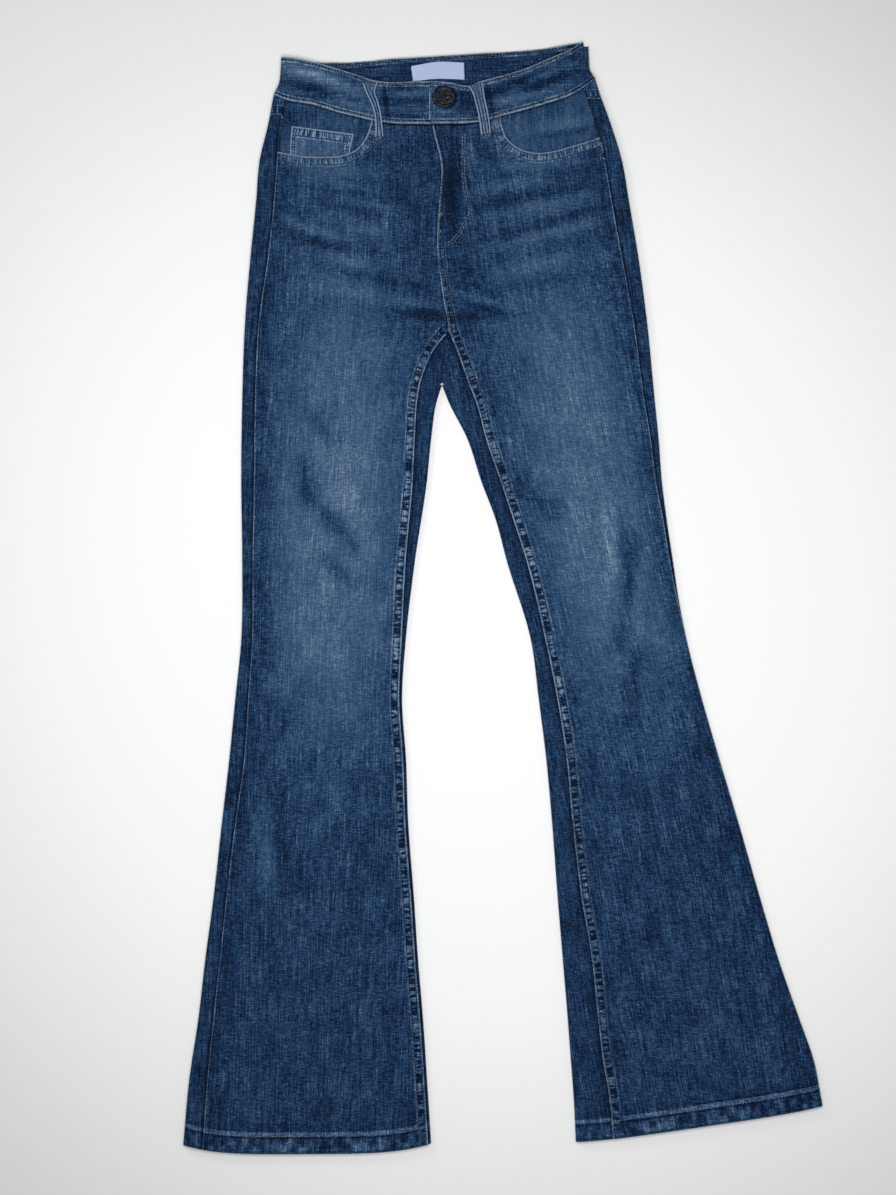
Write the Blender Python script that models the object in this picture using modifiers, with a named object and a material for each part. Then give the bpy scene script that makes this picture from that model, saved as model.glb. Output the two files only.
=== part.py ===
"""Flared five-pocket jeans, laid flat on their back with the waist towards +Y.

Sizes are in millimetres and are turned into metres when a mesh is made. The origin is the middle of the garment's
outline, on the surface that it lies on. Left and right are the viewer's, looking down on the front.
"""

import math

import bmesh
import bpy
import numpy as np

MM = 0.001

# Cloth and heights
DENIM = 1.2
BAND = 2.4
THIN = 1.0
LOOP = 1.4
SEAM_GAP = 0.5
NARROW_CELL = 0.5
LAYER_GAP = 0.3
LEG_HEIGHT = 6.0
HIP_HEIGHT = 7.4
LEG_CROWN = 0.6
FOLD_RADIUS = 3.0
BAND_RISE = 0.8
POCKET_RAISE = 1.5
LOOP_RAISE = 1.8

# Main levels: the top of the gap between the legs, where four panels meet, and where the hips rise
APEX_Y = 213.0
CROSS_Y = 265.0
HIP_RISE_Y = 190.0
HIP_RISE_LENGTH = 110.0
CROWN_END_Y = 150.0
CROWN_FADE = 60.0

# Hem: how far the cloth is turned up and stands proud, and how far the middle hangs below the corners
HEM_DEPTH_SHARE = 0.0215
HEM_STEP_SHARE = 0.003
HEM_RISE = 0.8
HEM_BOWS = {"left": 9.5, "right": 3.0}
LEG_ROWS = 20

# Outer fold of the left leg and hip, and the outseam that shows beside it
SIDE_LEFT = np.array(
    [
        # y, fold, outseam
        (-547, -320, -300.5),
        (-482, -314, -296),
        (-422, -305, -290),
        (-362, -298, -283.5),
        (-302, -290, -277),
        (-222, -281, -267.5),
        (-162, -274, -259),
        (-102, -268, -255),
        (-42, -262, -251),
        (38, -261, -250.5),
        (118, -262, -249),
        (198, -261, -248),
        (278, -258, -244),
        (338, -253, -235.5),
        (398, -247, -229),
        (438, -243.5, -226),
        (474, -235, -223),
        (506, -229, -217),
    ],
    float,
)

# Outer fold of the right leg and hip: below the knee the outseam lies on the fold itself
SIDE_RIGHT = np.array(
    [
        # y, fold, outseam
        (-508, 320, 320),
        (-462, 311, 311),
        (-422, 297, 297),
        (-362, 276, 276),
        (-302, 258, 258),
        (-222, 235, 235),
        (-162, 217, 217),
        (-102, 199.5, 199.5),
        (-42, 184, 184),
        (-2, 176, 175),
        (38, 170, 167),
        (78, 164, 160.5),
        (118, 159, 153),
        (158, 156, 148),
        (198, 152, 141.5),
        (278, 144, 130.5),
        (338, 136, 119.5),
        (398, 126, 108.5),
        (438, 119, 101.5),
        (474, 108, 93),
        (506, 96.5, 81.5),
        (520, 92, 78),
    ],
    float,
)

# Inner fold of each leg and the inseam beside it, from the hem to the top of the gap between the legs
INNER_LEFT = np.array(
    [
        # y, fold, inseam
        (-545.5, -72, -74.5),
        (-482, -76, -78.5),
        (-422, -80, -82.5),
        (-362, -85, -87.5),
        (-302, -89, -91.5),
        (-222, -95, -97.5),
        (-162, -97, -99.5),
        (-102, -101, -103.5),
        (-42, -97.3, -101),
        (38, -88, -97),
        (118, -76, -90),
        (158, -72, -88),
        (198, -66, -85.5),
        (213, -61.2, -83),
    ],
    float,
)
INNER_RIGHT = np.array(
    [
        # y, fold, inseam
        (-544, 73, 110),
        (-502, 71, 106.3),
        (-462, 68, 99.5),
        (-422, 65, 94.8),
        (-362, 60, 88.5),
        (-302, 55, 78.5),
        (-222, 49, 69),
        (-162, 43.5, 63.3),
        (-102, 36, 54),
        (-42, 28, 42),
        (38, 3.7, 22.7),
        (78, -7, 10),
        (118, -22, -3.3),
        (158, -35, -17),
        (198, -55, -28),
        (213, -60.8, -34),
    ],
    float,
)

# The fork of the backs, which comes over the crotch between the two inseams and ends where four panels meet
FORK = np.array(
    [
        # y, left inseam, crease, right inseam
        (213, -83, -61, -34),
        (230, -77.5, -60.5, -40),
        (248, -69, -58.5, -46.5),
        (265, -55.5, -54.5, -53.5),
    ],
    float,
)

# Centre front, where the right front laps over the left
CENTRE = np.array(
    [
        # y, x
        (213, -61),
        (240, -59),
        (265, -54.5),
        (300, -60),
        (350, -66),
        (398, -63.8),
        (430, -61.8),
        (474, -71),
        (541, -71),
    ],
    float,
)

# Pocket mouths, from the outseam to the waist seam
MOUTH_LEFT = np.array(
    [
        # x, y
        (-225, 446),
        (-203, 442),
        (-182, 441),
        (-160, 442.6),
        (-148.5, 447),
        (-140, 455.5),
        (-135, 465),
        (-131.5, 476.6),
    ],
    float,
)
MOUTH_RIGHT = np.array(
    [
        # x, y
        (98, 461),
        (84, 456),
        (70, 452),
        (50, 446.5),
        (31.8, 445),
        (16.5, 449.4),
        (3.7, 459.6),
        (-2.6, 478.2),
    ],
    float,
)

# Waist seams and top edges of the band
FRONT_WAIST = np.array(
    [
        # x, waist seam, top edge
        (-229, 503, 541),
        (-218, 498.5, 540.5),
        (-189, 493, 535.5),
        (-163, 485, 528),
        (-144, 480.5, 522),
        (-131, 477.3, 517.5),
        (-118, 475.3, 515.6),
        (-81, 474, 516.5),
        (-52, 474, 514.5),
        (-35, 474.5, 511.5),
        (-21, 476.5, 516.5),
        (1, 482.5, 522.5),
        (21, 487.8, 528.5),
        (47, 495.5, 539.5),
        (67, 502.5, 548),
        (81, 510.5, 556),
        (92, 519, 557),
    ],
    float,
)
BACK_WAIST = np.array(
    [
        # x, waist seam, top edge
        (-229, 503, 541),
        (-185, 500, 536),
        (-103, 500, 540),
        (-7, 505, 546),
        (41, 511, 550),
        (81, 516, 556),
        (92, 519, 557),
    ],
    float,
)
BAND_SIDES = np.array(
    [
        # share of the band's width, left fold, right fold
        (0, -229.5, 92.5),
        (0.35, -224, 86),
        (0.7, -222.5, 81.5),
        (1, -222, 80.5),
    ],
    float,
)

# Yoke seam on the underside: its height at the left side, the middle and the right side
YOKE_SIDE_LEFT = 483.0
YOKE_MIDDLE = 440.0
YOKE_SIDE_RIGHT = 499.0

# Fly: how far the left front runs on under the right, and the pieces behind it
LAP_WIDTH = 6.0
LAP_DROP = 1.6
SHIELD_WIDTH = 36.0
SHIELD_LOW_Y = 322.0
ZIP_LOW_Y = 340.0
ZIP_FROM_EDGE = 9.0
ZIP_WIDTH = 21.0
LAP_END_X = -74.0
UNDERLAP_END_X = -40.0

# Front pockets: the facings' lower edge, how deep they lie and how far they reach inward, and the bags
FACING_LOW = 424.0
FACING_DEPTH = DENIM + LAYER_GAP + THIN + LAYER_GAP
FACING_INNER = {"left": -124.0, "right": -10.0}
BAG_LOW = 318.0
COIN_POCKET = (
    # left x, left y, right x, right y, from its hidden foot to its hem
    (-213.0, 428.0, -157.0, 428.0),
    (-213.0, 446.0, -153.0, 447.0),
    (-211.5, 472.0, -149.0, 464.0),
)

# Patch pockets on the underside
BACK_POCKET_TOP = 426.0
BACK_POCKET_SIDE = 122.0
BACK_POCKET_POINT = 145.0
BACK_POCKET_WIDTH = 128.0
BACK_POCKET_FOOT = 112.0
BACK_POCKETS = {"left": -155.0, "right": 33.0}
RAISE_MARGIN = 20.0
RAISE_RAMP = 16.0

# Metal button
BUTTON_X = -58.5
BUTTON_Y = 500.0
BUTTON_RADIUS = 10.5
BUTTON_PROFILE = (
    # share of the radius, height: from the middle of the cap over the rim to the foot of the shank
    (0.0, 2.9),
    (0.51, 2.6),
    (0.63, 2.3),
    (0.78, 2.9),
    (0.91, 2.8),
    (1.0, 1.9),
    (0.93, 1.1),
    (0.48, 0.9),
    (0.4, 0.0),
    (0.0, 0.0),
)

# Belt loops
LOOP_WIDTH = 11.5
FRONT_LOOPS = {
    # middle line of each loop, as x, y, from the top of the band down
    "belt_loop_front_left": (
        (-133, 514.5),
        (-132.5, 506),
        (-128, 494),
        (-125, 482),
        (-124, 472),
        (-123.5, 461),
    ),
    "belt_loop_front_right": ((-27.5, 513), (-25, 506), (-23, 497), (-20, 484), (-18, 472), (-17, 464)),
}
LABEL_MARGIN = 44.0
LABEL_OUTLINE = ((-92, 532), (-64, 536.5), (-39, 535.5), (-38.5, 518.5), (-60, 519.5), (-90, 517))
REAR_LOOPS = {
    "belt_loop_side_left": {"x": -196.0, "low": 484.0, "high": 535.0, "lean": 0.0, "margin": RAISE_MARGIN},
    "belt_loop_back": {"x": -66.0, "low": 488.0, "high": 541.0, "lean": 0.0, "margin": LABEL_MARGIN},
    "belt_loop_side_right": {"x": 81.0, "low": 494.0, "high": 552.0, "lean": -2.5, "margin": RAISE_MARGIN},
}

# The largest creases of the front: soft ridges, each a line between two points
CREASES = np.array(
    [
        # x from, y from, x to, y to, height, half width
        (-191, 180, -170, 157, 1.2, 9),
        (-196, 136, -192, 105, 1.6, 9),
        (-192, 105, -166, 76, 1.8, 9),
        (-166, 76, -150, 52, 1.2, 9),
        (-175, 42, -151, 15, 1.3, 9),
        (128, 64, 121, 15, 1.4, 8),
        (121, 15, 112, -50, 1.6, 8),
        (130, -58, 122, -124, 1.4, 9),
        (17, 112, 53, 90, 1.2, 11),
        (-241, -205, -204, -290, 1.3, 10),
    ],
    float,
)

# Where the left front goes down to lie under the right, and where the ends of the band cross
LAP_START_Y = 297.0
LAP_RUN = 18.0
LAP_TRIM = 0.1
DROP_START_Y = 258.0
DROP_RUN = 18.0
DROP_FROM_CENTRE = 14.0
DROP_WIDTH = 8.0
BAND_LIFT = 1.4
LIFT_END_X = -40.0
LIFT_RUN = 26.0
BAND_SINK = 1.3
SINK_START_X = -106.0
SINK_RUN = 22.0
BAND_SEAM_LEFT = -216.0
BAND_SEAM_RIGHT = 70.0

# Places of a front's last columns, from its inner edge outward, where one front laps over the other
LAP_CELLS = {"left": (0.0, -LAP_WIDTH - 2, -LAP_WIDTH - 9, -LAP_WIDTH - 18), "right": (0.0, 4.0, 9.0, 18.0)}
SETTLE_START_Y = 222.0
SETTLE_RUN = 50.0

# First column of the strip inside the inseam, after the outer fold, the under layer and the inner fold
BACK_STRIP_START = 18
LEAST_FOLD_SHARE = 0.3

# Rows of the hips, as shares of the way from the top of the gap to the pocket mouth, the yoke and the crotch
FRONT_LEVELS = (0.05, 0.1, 0.15, 0.2, 0.26, 0.34, 0.45, 0.58, 0.71, 0.82, 0.91, 1.0)
BACK_LEVELS = (0.08, 0.17, 0.27, 0.37, 0.47, 0.57, 0.67, 0.77, 0.88, 1.0)
FORK_LEVELS = (0.25, 0.5, 0.75, 0.92)
FORK_DIP = 1.0
WAIST_GUESS_Y = 500.0
CENTRE_TOP_Y = 474.0

# Fly pieces, facings and bags: where they end and how far they stand in from the seams
FLY_HIGH_Y = 472.5
SHIELD_PAST_EDGE = 2.0
FACING_HIGH_Y = 497.0
FACING_INSET_LOW = 0.8
FACING_INSET_HIGH = 2.5
BAG_INSET = 8.0
BAG_OUTER_TAPER = 22.0
BAG_INNER_TAPER = 26.0

# How far below the waist seam a front loop steps up onto the band
LOOP_STEP_BELOW = 9.0
LOOP_STEP_RUN = 7.0
LOOP_CORNER = 10.0

# Colours, as linear red, green and blue
DENIM_BLUE = (0.045, 0.10, 0.20)
DENIM_DARK = (0.025, 0.06, 0.13)
LABEL_WHITE = (0.62, 0.66, 0.72)
TAPE_NAVY = (0.02, 0.035, 0.07)
OLD_METAL = (0.10, 0.09, 0.085)

QUARTER = FOLD_RADIUS * math.pi / 2
SIDES = {
    "left": {"side": SIDE_LEFT, "inner": INNER_LEFT, "inward": 1.0, "inseam_column": 1},
    "right": {"side": SIDE_RIGHT, "inner": INNER_RIGHT, "inward": -1.0, "inseam_column": 3},
}


def smooth_step(value):
    value = min(max(value, 0.0), 1.0)
    return value * value * (3 - 2 * value)


def read(table, column, at):
    """The column's value at a station, on one smooth curve through the table's rows."""
    stations = table[:, 0]
    values = table[:, column]
    slopes = np.gradient(values, stations)
    at = min(max(at, stations[0]), stations[-1])
    index = min(max(int(np.searchsorted(stations, at)) - 1, 0), len(stations) - 2)
    span = stations[index + 1] - stations[index]
    share = (at - stations[index]) / span
    start, end = values[index], values[index + 1]
    bend_start, bend_end = slopes[index] * span, slopes[index + 1] * span
    return (
        start * (1 + 2 * share) * (1 - share) ** 2
        + bend_start * share * (1 - share) ** 2
        + end * share**2 * (3 - 2 * share)
        + bend_end * share**2 * (share - 1)
    )


def along(points, count):
    """Points evenly spaced along a smooth curve through the given ones."""
    steps = np.concatenate([[0], np.cumsum(np.hypot(*np.diff(points, axis=0).T))])
    table = np.column_stack([steps, points])
    return [(read(table, 1, at), read(table, 2, at)) for at in np.linspace(0, steps[-1], count)]


def crease_height(x, y):
    """Sum of the soft ridges at a place on the front."""
    start = CREASES[:, 0:2]
    run = CREASES[:, 2:4] - start
    offset = np.array([x, y]) - start
    share = np.clip((offset * run).sum(1) / (run * run).sum(1), 0, 1)
    distance = np.hypot(*(offset - run * share[:, None]).T)
    return float((CREASES[:, 4] * np.exp(-((distance / CREASES[:, 5]) ** 2))).sum())


def top_height(x, y):
    """Height of the upper face of the front at a place."""
    rise = smooth_step((y - HIP_RISE_Y) / HIP_RISE_LENGTH)
    return LEG_HEIGHT + (HIP_HEIGHT - LEG_HEIGHT) * rise + crease_height(x, y)


def patch_share(x, y, middle, half_width, low, high, margin=RAISE_MARGIN):
    """1 inside a patch and its margin, falling to 0 over the ramp round it."""
    apart = max(abs(x - middle) - half_width, low - y, y - high, 0.0)
    return 1 - smooth_step((apart - margin) / RAISE_RAMP)


def bottom_height(x, y):
    """Height of the under face of the back: 0, or raised over what is sewn on below it."""
    raised = 0.0
    for middle in BACK_POCKETS.values():
        low = BACK_POCKET_TOP - BACK_POCKET_POINT
        share = patch_share(x, y, middle, BACK_POCKET_WIDTH / 2, low, BACK_POCKET_TOP)
        raised = max(raised, POCKET_RAISE * share)
    for loop in REAR_LOOPS.values():
        share = patch_share(x, y, loop["x"], LOOP_WIDTH / 2, loop["low"], loop["high"], loop["margin"])
        raised = max(raised, LOOP_RAISE * share)
    return raised


def fold_place(arc, radius=FOLD_RADIUS):
    """How far inward and how high a point lies that is this far round a fold from its outermost line.

    Heights run from -1, the under layer, to 1, the upper layer.
    """
    quarter = radius * math.pi / 2
    if abs(arc) < quarter:
        return radius * (1 - math.cos(arc / radius)), math.sin(arc / radius)
    return radius + abs(arc) - quarter, math.copysign(1.0, arc)


def arc_of(inset, radius=FOLD_RADIUS):
    """The way round the fold to a place on the upper layer that is this far inside the outline."""
    if inset < radius:
        return radius * math.acos(1 - max(inset, 0.0) / radius)
    return inset - radius + radius * math.pi / 2


def layer_height(x, y, rise, extra=0.0):
    """Height of a point of a flattened tube whose rise is -1 below and 1 above."""
    high = top_height(x, y) + extra
    low = bottom_height(x, y)
    middle = (LEG_HEIGHT if y < APEX_Y else high) / 2
    if rise > 0:
        return middle + (high - middle) * rise
    return middle + (middle - low) * rise


def leg_ends(side, share):
    """The two folds of a leg at a share of the way from its hem to the top of the gap."""
    data = SIDES[side]
    outer_y = data["side"][0, 0] * (1 - share) + APEX_Y * share
    inner_y = data["inner"][0, 0] * (1 - share) + APEX_Y * share
    outer = (read(data["side"], 1, outer_y), outer_y)
    inner = (read(data["inner"], 1, inner_y), inner_y)
    return outer, inner


def leg_point(side, share, end, arc):
    """A point of a leg, this far round its outer or inner fold."""
    outer, inner = leg_ends(side, share)
    width = math.hypot(inner[0] - outer[0], inner[1] - outer[1])
    inward, rise = fold_place(arc)
    part = inward / width if end == "outer" else 1 - inward / width
    x = outer[0] + (inner[0] - outer[0]) * part
    y = outer[1] + (inner[1] - outer[1]) * part
    y -= HEM_BOWS[side] * (1 - abs(2 * part - 1) ** 4) * (1 - share) ** 6
    crown = LEG_CROWN * math.sin(math.pi * part) * (1 - smooth_step((y - CROWN_END_Y) / CROWN_FADE))
    turned_up = HEM_RISE if share <= HEM_DEPTH_SHARE else 0.0
    return x, y, layer_height(x, y, rise, crown + turned_up)


def seam_arcs(side, share):
    """The ways round the outer and inner folds to the outseam and the inseam of a leg."""
    data = SIDES[side]
    outer, inner = leg_ends(side, share)
    outseam = abs(read(data["side"], 2, outer[1]) - outer[0])
    inseam = abs(read(data["inner"], 2, inner[1]) - inner[0])
    return arc_of(outseam), arc_of(inseam)


def spread(start, end, pieces):
    return list(np.linspace(start, end, pieces + 1))


def leg_shares():
    """Rows of a leg: the hem's two edges, the foot of its step, and the rest up to the top of the gap."""
    foot = HEM_DEPTH_SHARE + HEM_STEP_SHARE
    return [0.0, HEM_DEPTH_SHARE] + spread(foot, 1, LEG_ROWS)


def back_leg_row(side, share):
    """One row of a back: outer strip, outer fold, under layer, inner fold and inner strip."""
    outer_arc, inner_arc = seam_arcs(side, share)
    outer_arc -= SEAM_GAP / 2
    inner_arc -= SEAM_GAP / 2
    outer_turn = min(QUARTER, outer_arc - LEAST_FOLD_SHARE * (outer_arc + QUARTER))
    inner_turn = min(QUARTER, inner_arc - LEAST_FOLD_SHARE * (inner_arc + QUARTER))
    outer, inner = leg_ends(side, share)
    width = math.hypot(inner[0] - outer[0], inner[1] - outer[1])
    far = -(width - 2 * FOLD_RADIUS + QUARTER)
    row = [leg_point(side, share, "outer", arc) for arc in (outer_arc, outer_arc - NARROW_CELL, outer_turn)]
    row += [leg_point(side, share, "outer", arc) for arc in spread(outer_turn, -QUARTER, 4)[1:]]
    row += [leg_point(side, share, "outer", arc) for arc in spread(-QUARTER, far, 8)[1:]]
    row += [leg_point(side, share, "inner", arc) for arc in spread(-QUARTER, inner_turn, 4)[1:]]
    row += [leg_point(side, share, "inner", arc) for arc in (inner_arc - NARROW_CELL, inner_arc)]
    return row


def seam_cells(arc):
    """Narrow cells of a front beside its seam, so that its edge stands square on a fold."""
    return [arc, arc + NARROW_CELL, arc + 3 * NARROW_CELL, max(QUARTER, arc + 7 * NARROW_CELL)]


def front_leg_row(side, share):
    """One row of a front, from the outseam to the inseam."""
    outer_arc, inner_arc = seam_arcs(side, share)
    outer_arc += SEAM_GAP / 2
    inner_arc += SEAM_GAP / 2
    outer, inner = leg_ends(side, share)
    width = math.hypot(inner[0] - outer[0], inner[1] - outer[1])
    outer_arcs = seam_cells(outer_arc)
    inner_arcs = seam_cells(inner_arc)
    across = width - 2 * FOLD_RADIUS + 2 * QUARTER
    row = [leg_point(side, share, "outer", arc) for arc in outer_arcs]
    middle_arcs = spread(outer_arcs[-1], across - inner_arcs[-1], 7)[1:]
    row += [leg_point(side, share, "outer", arc) for arc in middle_arcs]
    row += [leg_point(side, share, "inner", arc) for arc in reversed(inner_arcs[:-1])]
    return row


def front_top(side):
    """The top of a front: the pocket mouth, then the waist seam to the centre front."""
    mouth = along(MOUTH_LEFT if side == "left" else MOUTH_RIGHT, 8)
    centre = front_inner(side, CENTRE_TOP_Y)
    places = spread(mouth[-1][0], centre + LAP_CELLS[side][-1], 3)[1:]
    places += [centre + offset for offset in reversed(LAP_CELLS[side][:-1])]
    seam = [(x, read(FRONT_WAIST, 1, x) - SEAM_GAP / 2) for x in places]
    corner_x = mouth[-1][0]
    mouth[-1] = (corner_x, read(FRONT_WAIST, 1, corner_x) - SEAM_GAP / 2)
    return mouth + seam


def front_inner(side, y):
    """The inner edge of a front above the gap: the inseam over the crotch, then the centre front."""
    column = SIDES[side]["inseam_column"]
    if y < CROSS_Y:
        away = -SEAM_GAP / 2 if side == "left" else SEAM_GAP / 2
        return read(FORK, column, y) + away
    if side == "right":
        return read(CENTRE, 1, y) + SEAM_GAP / 2
    lap = LAP_WIDTH * smooth_step((y - LAP_START_Y) / LAP_RUN)
    return read(CENTRE, 1, y) - SEAM_GAP / 2 * (1 - min(lap, 1)) - LAP_TRIM + lap


def lap_drop(side, x, y):
    """The left front goes down near the centre, to lie under the right."""
    if side == "right":
        return 0.0
    nearness = smooth_step((x - (read(CENTRE, 1, y) - DROP_FROM_CENTRE)) / DROP_WIDTH)
    return LAP_DROP * nearness * smooth_step((y - DROP_START_Y) / DROP_RUN)


def front_hip_rows(side, leg_row):
    """Rows of a front from the top of the gap to the pocket mouth and the waist seam."""
    top = front_top(side)
    data = SIDES[side]
    first = leg_row[0][0]
    reach = leg_row[-1][0] - first
    low_shares = [(point[0] - first) / reach for point in leg_row]
    rows = []
    for level in FRONT_LEVELS:
        row = []
        for column, (top_x, top_y) in enumerate(top):
            y = APEX_Y + (top_y - APEX_Y) * level
            outer = read(data["side"], 2, y) + data["inward"] * SEAM_GAP / 2
            inner = front_inner(side, y)
            top_outer = read(data["side"], 2, top_y) + data["inward"] * SEAM_GAP / 2
            top_inner = front_inner(side, top_y)
            top_share = (top_x - top_outer) / (top_inner - top_outer)
            share = low_shares[column] + (top_share - low_shares[column]) * level**1.5 if column else 0.0
            x = outer + (inner - outer) * share
            from_inner = len(top) - 1 - column
            if from_inner < len(LAP_CELLS[side]):
                low_offset = leg_row[column][0] - leg_row[-1][0]
                settled = smooth_step((y - SETTLE_START_Y) / SETTLE_RUN)
                x = inner + low_offset + (LAP_CELLS[side][from_inner] - low_offset) * settled
            height = top_height(x, y) - lap_drop(side, x, y)
            row.append((x, y, height))
        rows.append(row)
    return rows


def yoke_seam_y(side, arc, part):
    """Height along the garment of the yoke seam, from the side (part 0) to the centre back (part 1)."""
    at_side = YOKE_SIDE_LEFT if side == "left" else YOKE_SIDE_RIGHT
    if arc > -QUARTER:
        return at_side
    return at_side + (YOKE_MIDDLE - at_side) * part


def back_hip_point(side, y, arc, part):
    """A point of the back of the hips: round the outer fold, or on the under layer at a part of its width."""
    data = SIDES[side]
    outer = read(data["side"], 1, y)
    inward, rise = fold_place(arc)
    if part > 0:
        centre = read(CENTRE, 1, y) - data["inward"] * SEAM_GAP / 2
        start = outer + data["inward"] * FOLD_RADIUS
        x = start + (centre - start) * part
    else:
        x = outer + data["inward"] * inward
    return x, y, layer_height(x, y, rise)


def back_hip_columns(side, y):
    """The arc and part of each column of the back of the hips at a height along the garment."""
    data = SIDES[side]
    inset = abs(read(data["side"], 2, y) - read(data["side"], 1, y))
    outer_arc = arc_of(inset) - SEAM_GAP / 2
    columns = [(arc, 0.0) for arc in spread(outer_arc, QUARTER, 2)]
    columns += [(arc, 0.0) for arc in spread(QUARTER, -QUARTER, 4)[1:]]
    columns += [(-QUARTER, part) for part in spread(0, 1, 8)[1:]]
    return columns


def back_hip_row(side, start_y, end_y, level):
    """A row of the back between two boundaries, each a function of arc and part."""
    count = len(back_hip_columns(side, APEX_Y))
    row = []
    for column in range(count):
        arc, part = back_hip_columns(side, APEX_Y + 100)[column]
        low = start_y(arc, part)
        high = end_y(arc, part)
        y = low + (high - low) * level
        arc, part = back_hip_columns(side, y)[column]
        row.append(back_hip_point(side, y, arc, part))
    return row


def fork_row(side, level):
    """A row of the fork, from the crease at the centre to the inseam."""
    y = APEX_Y + (CROSS_Y - APEX_Y) * level
    column = SIDES[side]["inseam_column"]
    inward = SIDES[side]["inward"]
    crease = read(FORK, 2, y) - inward * SEAM_GAP / 2
    inseam = read(FORK, column, y) + inward * SEAM_GAP
    row = []
    for part in spread(0, 1, 2):
        x = crease + (inseam - crease) * part
        dip = FORK_DIP * (1 - level) * (1 - part)
        row.append((x, y, top_height(x, y) - dip))
    return row


def gap_top_y(arc, part):
    return APEX_Y


def back_grid(side):
    """The rows of a back panel, with None where it has no cloth."""

    def below_yoke(arc, part):
        return yoke_seam_y(side, arc, part) - SEAM_GAP / 2

    rows = [back_leg_row(side, share) for share in leg_shares()]
    width = len(rows[0])
    for index, level in enumerate(BACK_LEVELS):
        row = [None] * width
        under = back_hip_row(side, gap_top_y, below_yoke, level)
        row[: len(under)] = under
        if index < len(FORK_LEVELS):
            row[BACK_STRIP_START:] = fork_row(side, FORK_LEVELS[index])
        rows.append(row)
    return rows


def waist_edge(column, x, rise):
    """A column of the waist tables at a place of the band: its front below a rise of 1, its back at -1."""
    front_share = (rise + 1) / 2
    return read(FRONT_WAIST, column, x) * front_share + read(BACK_WAIST, column, x) * (1 - front_share)


def yoke_grid(side):
    def waist(arc, part):
        y = WAIST_GUESS_Y
        for _ in range(4):
            x = back_hip_point(side, y, arc, part)[0]
            y = waist_edge(1, x, fold_place(arc)[1]) - SEAM_GAP / 2
        return y

    return [
        back_hip_row(side, lambda arc, part: yoke_seam_y(side, arc, part) + SEAM_GAP / 2, waist, level)
        for level in (0, 0.5, 1)
    ]


def new_material(name, colour, roughness=0.9, metallic=0.0):
    material = bpy.data.materials.new(name)
    material.use_nodes = True
    shader = material.node_tree.nodes["Principled BSDF"]
    shader.inputs["Base Color"].default_value = (*colour, 1)
    shader.inputs["Roughness"].default_value = roughness
    shader.inputs["Metallic"].default_value = metallic
    material.diffuse_color = (*colour, 1)
    return material


def add_object(name, mesh, colour, roughness=0.9, metallic=0.0):
    mesh.materials.append(new_material(name, colour, roughness, metallic))
    obj = bpy.data.objects.new(name, mesh)
    bpy.data.collections["jeans"].objects.link(obj)
    return obj


def cloth(name, rows, thickness, colour=DENIM_BLUE, upward=True):
    """A wall of cloth whose outer face is a grid of points, with its thickness on the inner side."""
    index = {}
    points = []
    for r, row in enumerate(rows):
        for c, point in enumerate(row):
            if point is not None:
                index[r, c] = len(points)
                points.append([value * MM for value in point])
    faces = []
    for r in range(len(rows) - 1):
        for c in range(len(rows[0]) - 1):
            corners = [(r, c), (r, c + 1), (r + 1, c + 1), (r + 1, c)]
            if all(corner in index for corner in corners):
                faces.append([index[corner] for corner in corners])
    mesh = bpy.data.meshes.new(name)
    mesh.from_pydata(points, [], faces)
    facing = sum(face.normal.z * face.area for face in mesh.polygons)
    if (facing > 0) != upward:
        mesh.flip_normals()
    mesh.shade_smooth()
    obj = add_object(name, mesh, colour)
    wall = obj.modifiers.new("cloth wall", "SOLIDIFY")
    wall.thickness = thickness * MM
    wall.offset = -1
    wall.use_even_offset = True
    return obj


def make_fronts():
    for side in SIDES:
        rows = [front_leg_row(side, share) for share in leg_shares()]
        rows += front_hip_rows(side, rows[-1])
        cloth(f"front_panel_{side}", rows, DENIM)


def make_backs():
    for side in SIDES:
        cloth(f"back_panel_{side}", back_grid(side), DENIM, DENIM_DARK, upward=False)
        cloth(f"back_yoke_{side}", yoke_grid(side), DENIM, DENIM_DARK, upward=False)


def band_top(x, y):
    return top_height(x, y) + BAND_RISE


def lap_lift(x):
    """The right end of the band rises over the left end, which goes down."""
    return BAND_LIFT * (1 - smooth_step((x - LIFT_END_X) / LIFT_RUN))


def lap_sink(x):
    return BAND_SINK * smooth_step((x - SINK_START_X) / SINK_RUN)


def front_band_rows(start, end, columns, change):
    rows = []
    for down in spread(0, 1, 3):
        row = []
        for x in spread(start, end, columns):
            low = read(FRONT_WAIST, 1, x) + SEAM_GAP / 2
            y = low + (read(FRONT_WAIST, 2, x) - low) * down
            row.append((x, y, band_top(x, y) + change(x)))
        rows.append(row)
    return rows


def back_band_rows():
    """The back stretch of the band: round the left side, below, and round the right side."""
    rows = []
    radius = FOLD_RADIUS + BAND_RISE / 2
    quarter = radius * math.pi / 2
    for down in spread(0, 1, 3):
        left = read(BAND_SIDES, 1, down)
        right = read(BAND_SIDES, 2, down)
        row = []
        places = []
        left_arc = arc_of(BAND_SEAM_LEFT - left, radius) - SEAM_GAP
        right_arc = arc_of(right - BAND_SEAM_RIGHT, radius) - SEAM_GAP
        for arc in spread(left_arc, quarter, 1) + spread(quarter, -quarter, 5)[1:]:
            inward, rise = fold_place(arc, radius)
            places.append((left + inward, rise))
        for x in spread(left + radius, right - radius, 26)[1:]:
            places.append((x, -1.0))
        for arc in spread(-quarter, quarter, 5)[1:] + spread(quarter, right_arc, 1)[1:]:
            inward, rise = fold_place(arc, radius)
            places.append((right - inward, rise))
        for x, rise in places:
            low = waist_edge(1, x, rise) + SEAM_GAP / 2
            y = low + (waist_edge(2, x, rise) - low) * down
            row.append((x, y, layer_height(x, y, rise, BAND_RISE)))
        rows.append(row)
    return rows


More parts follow.
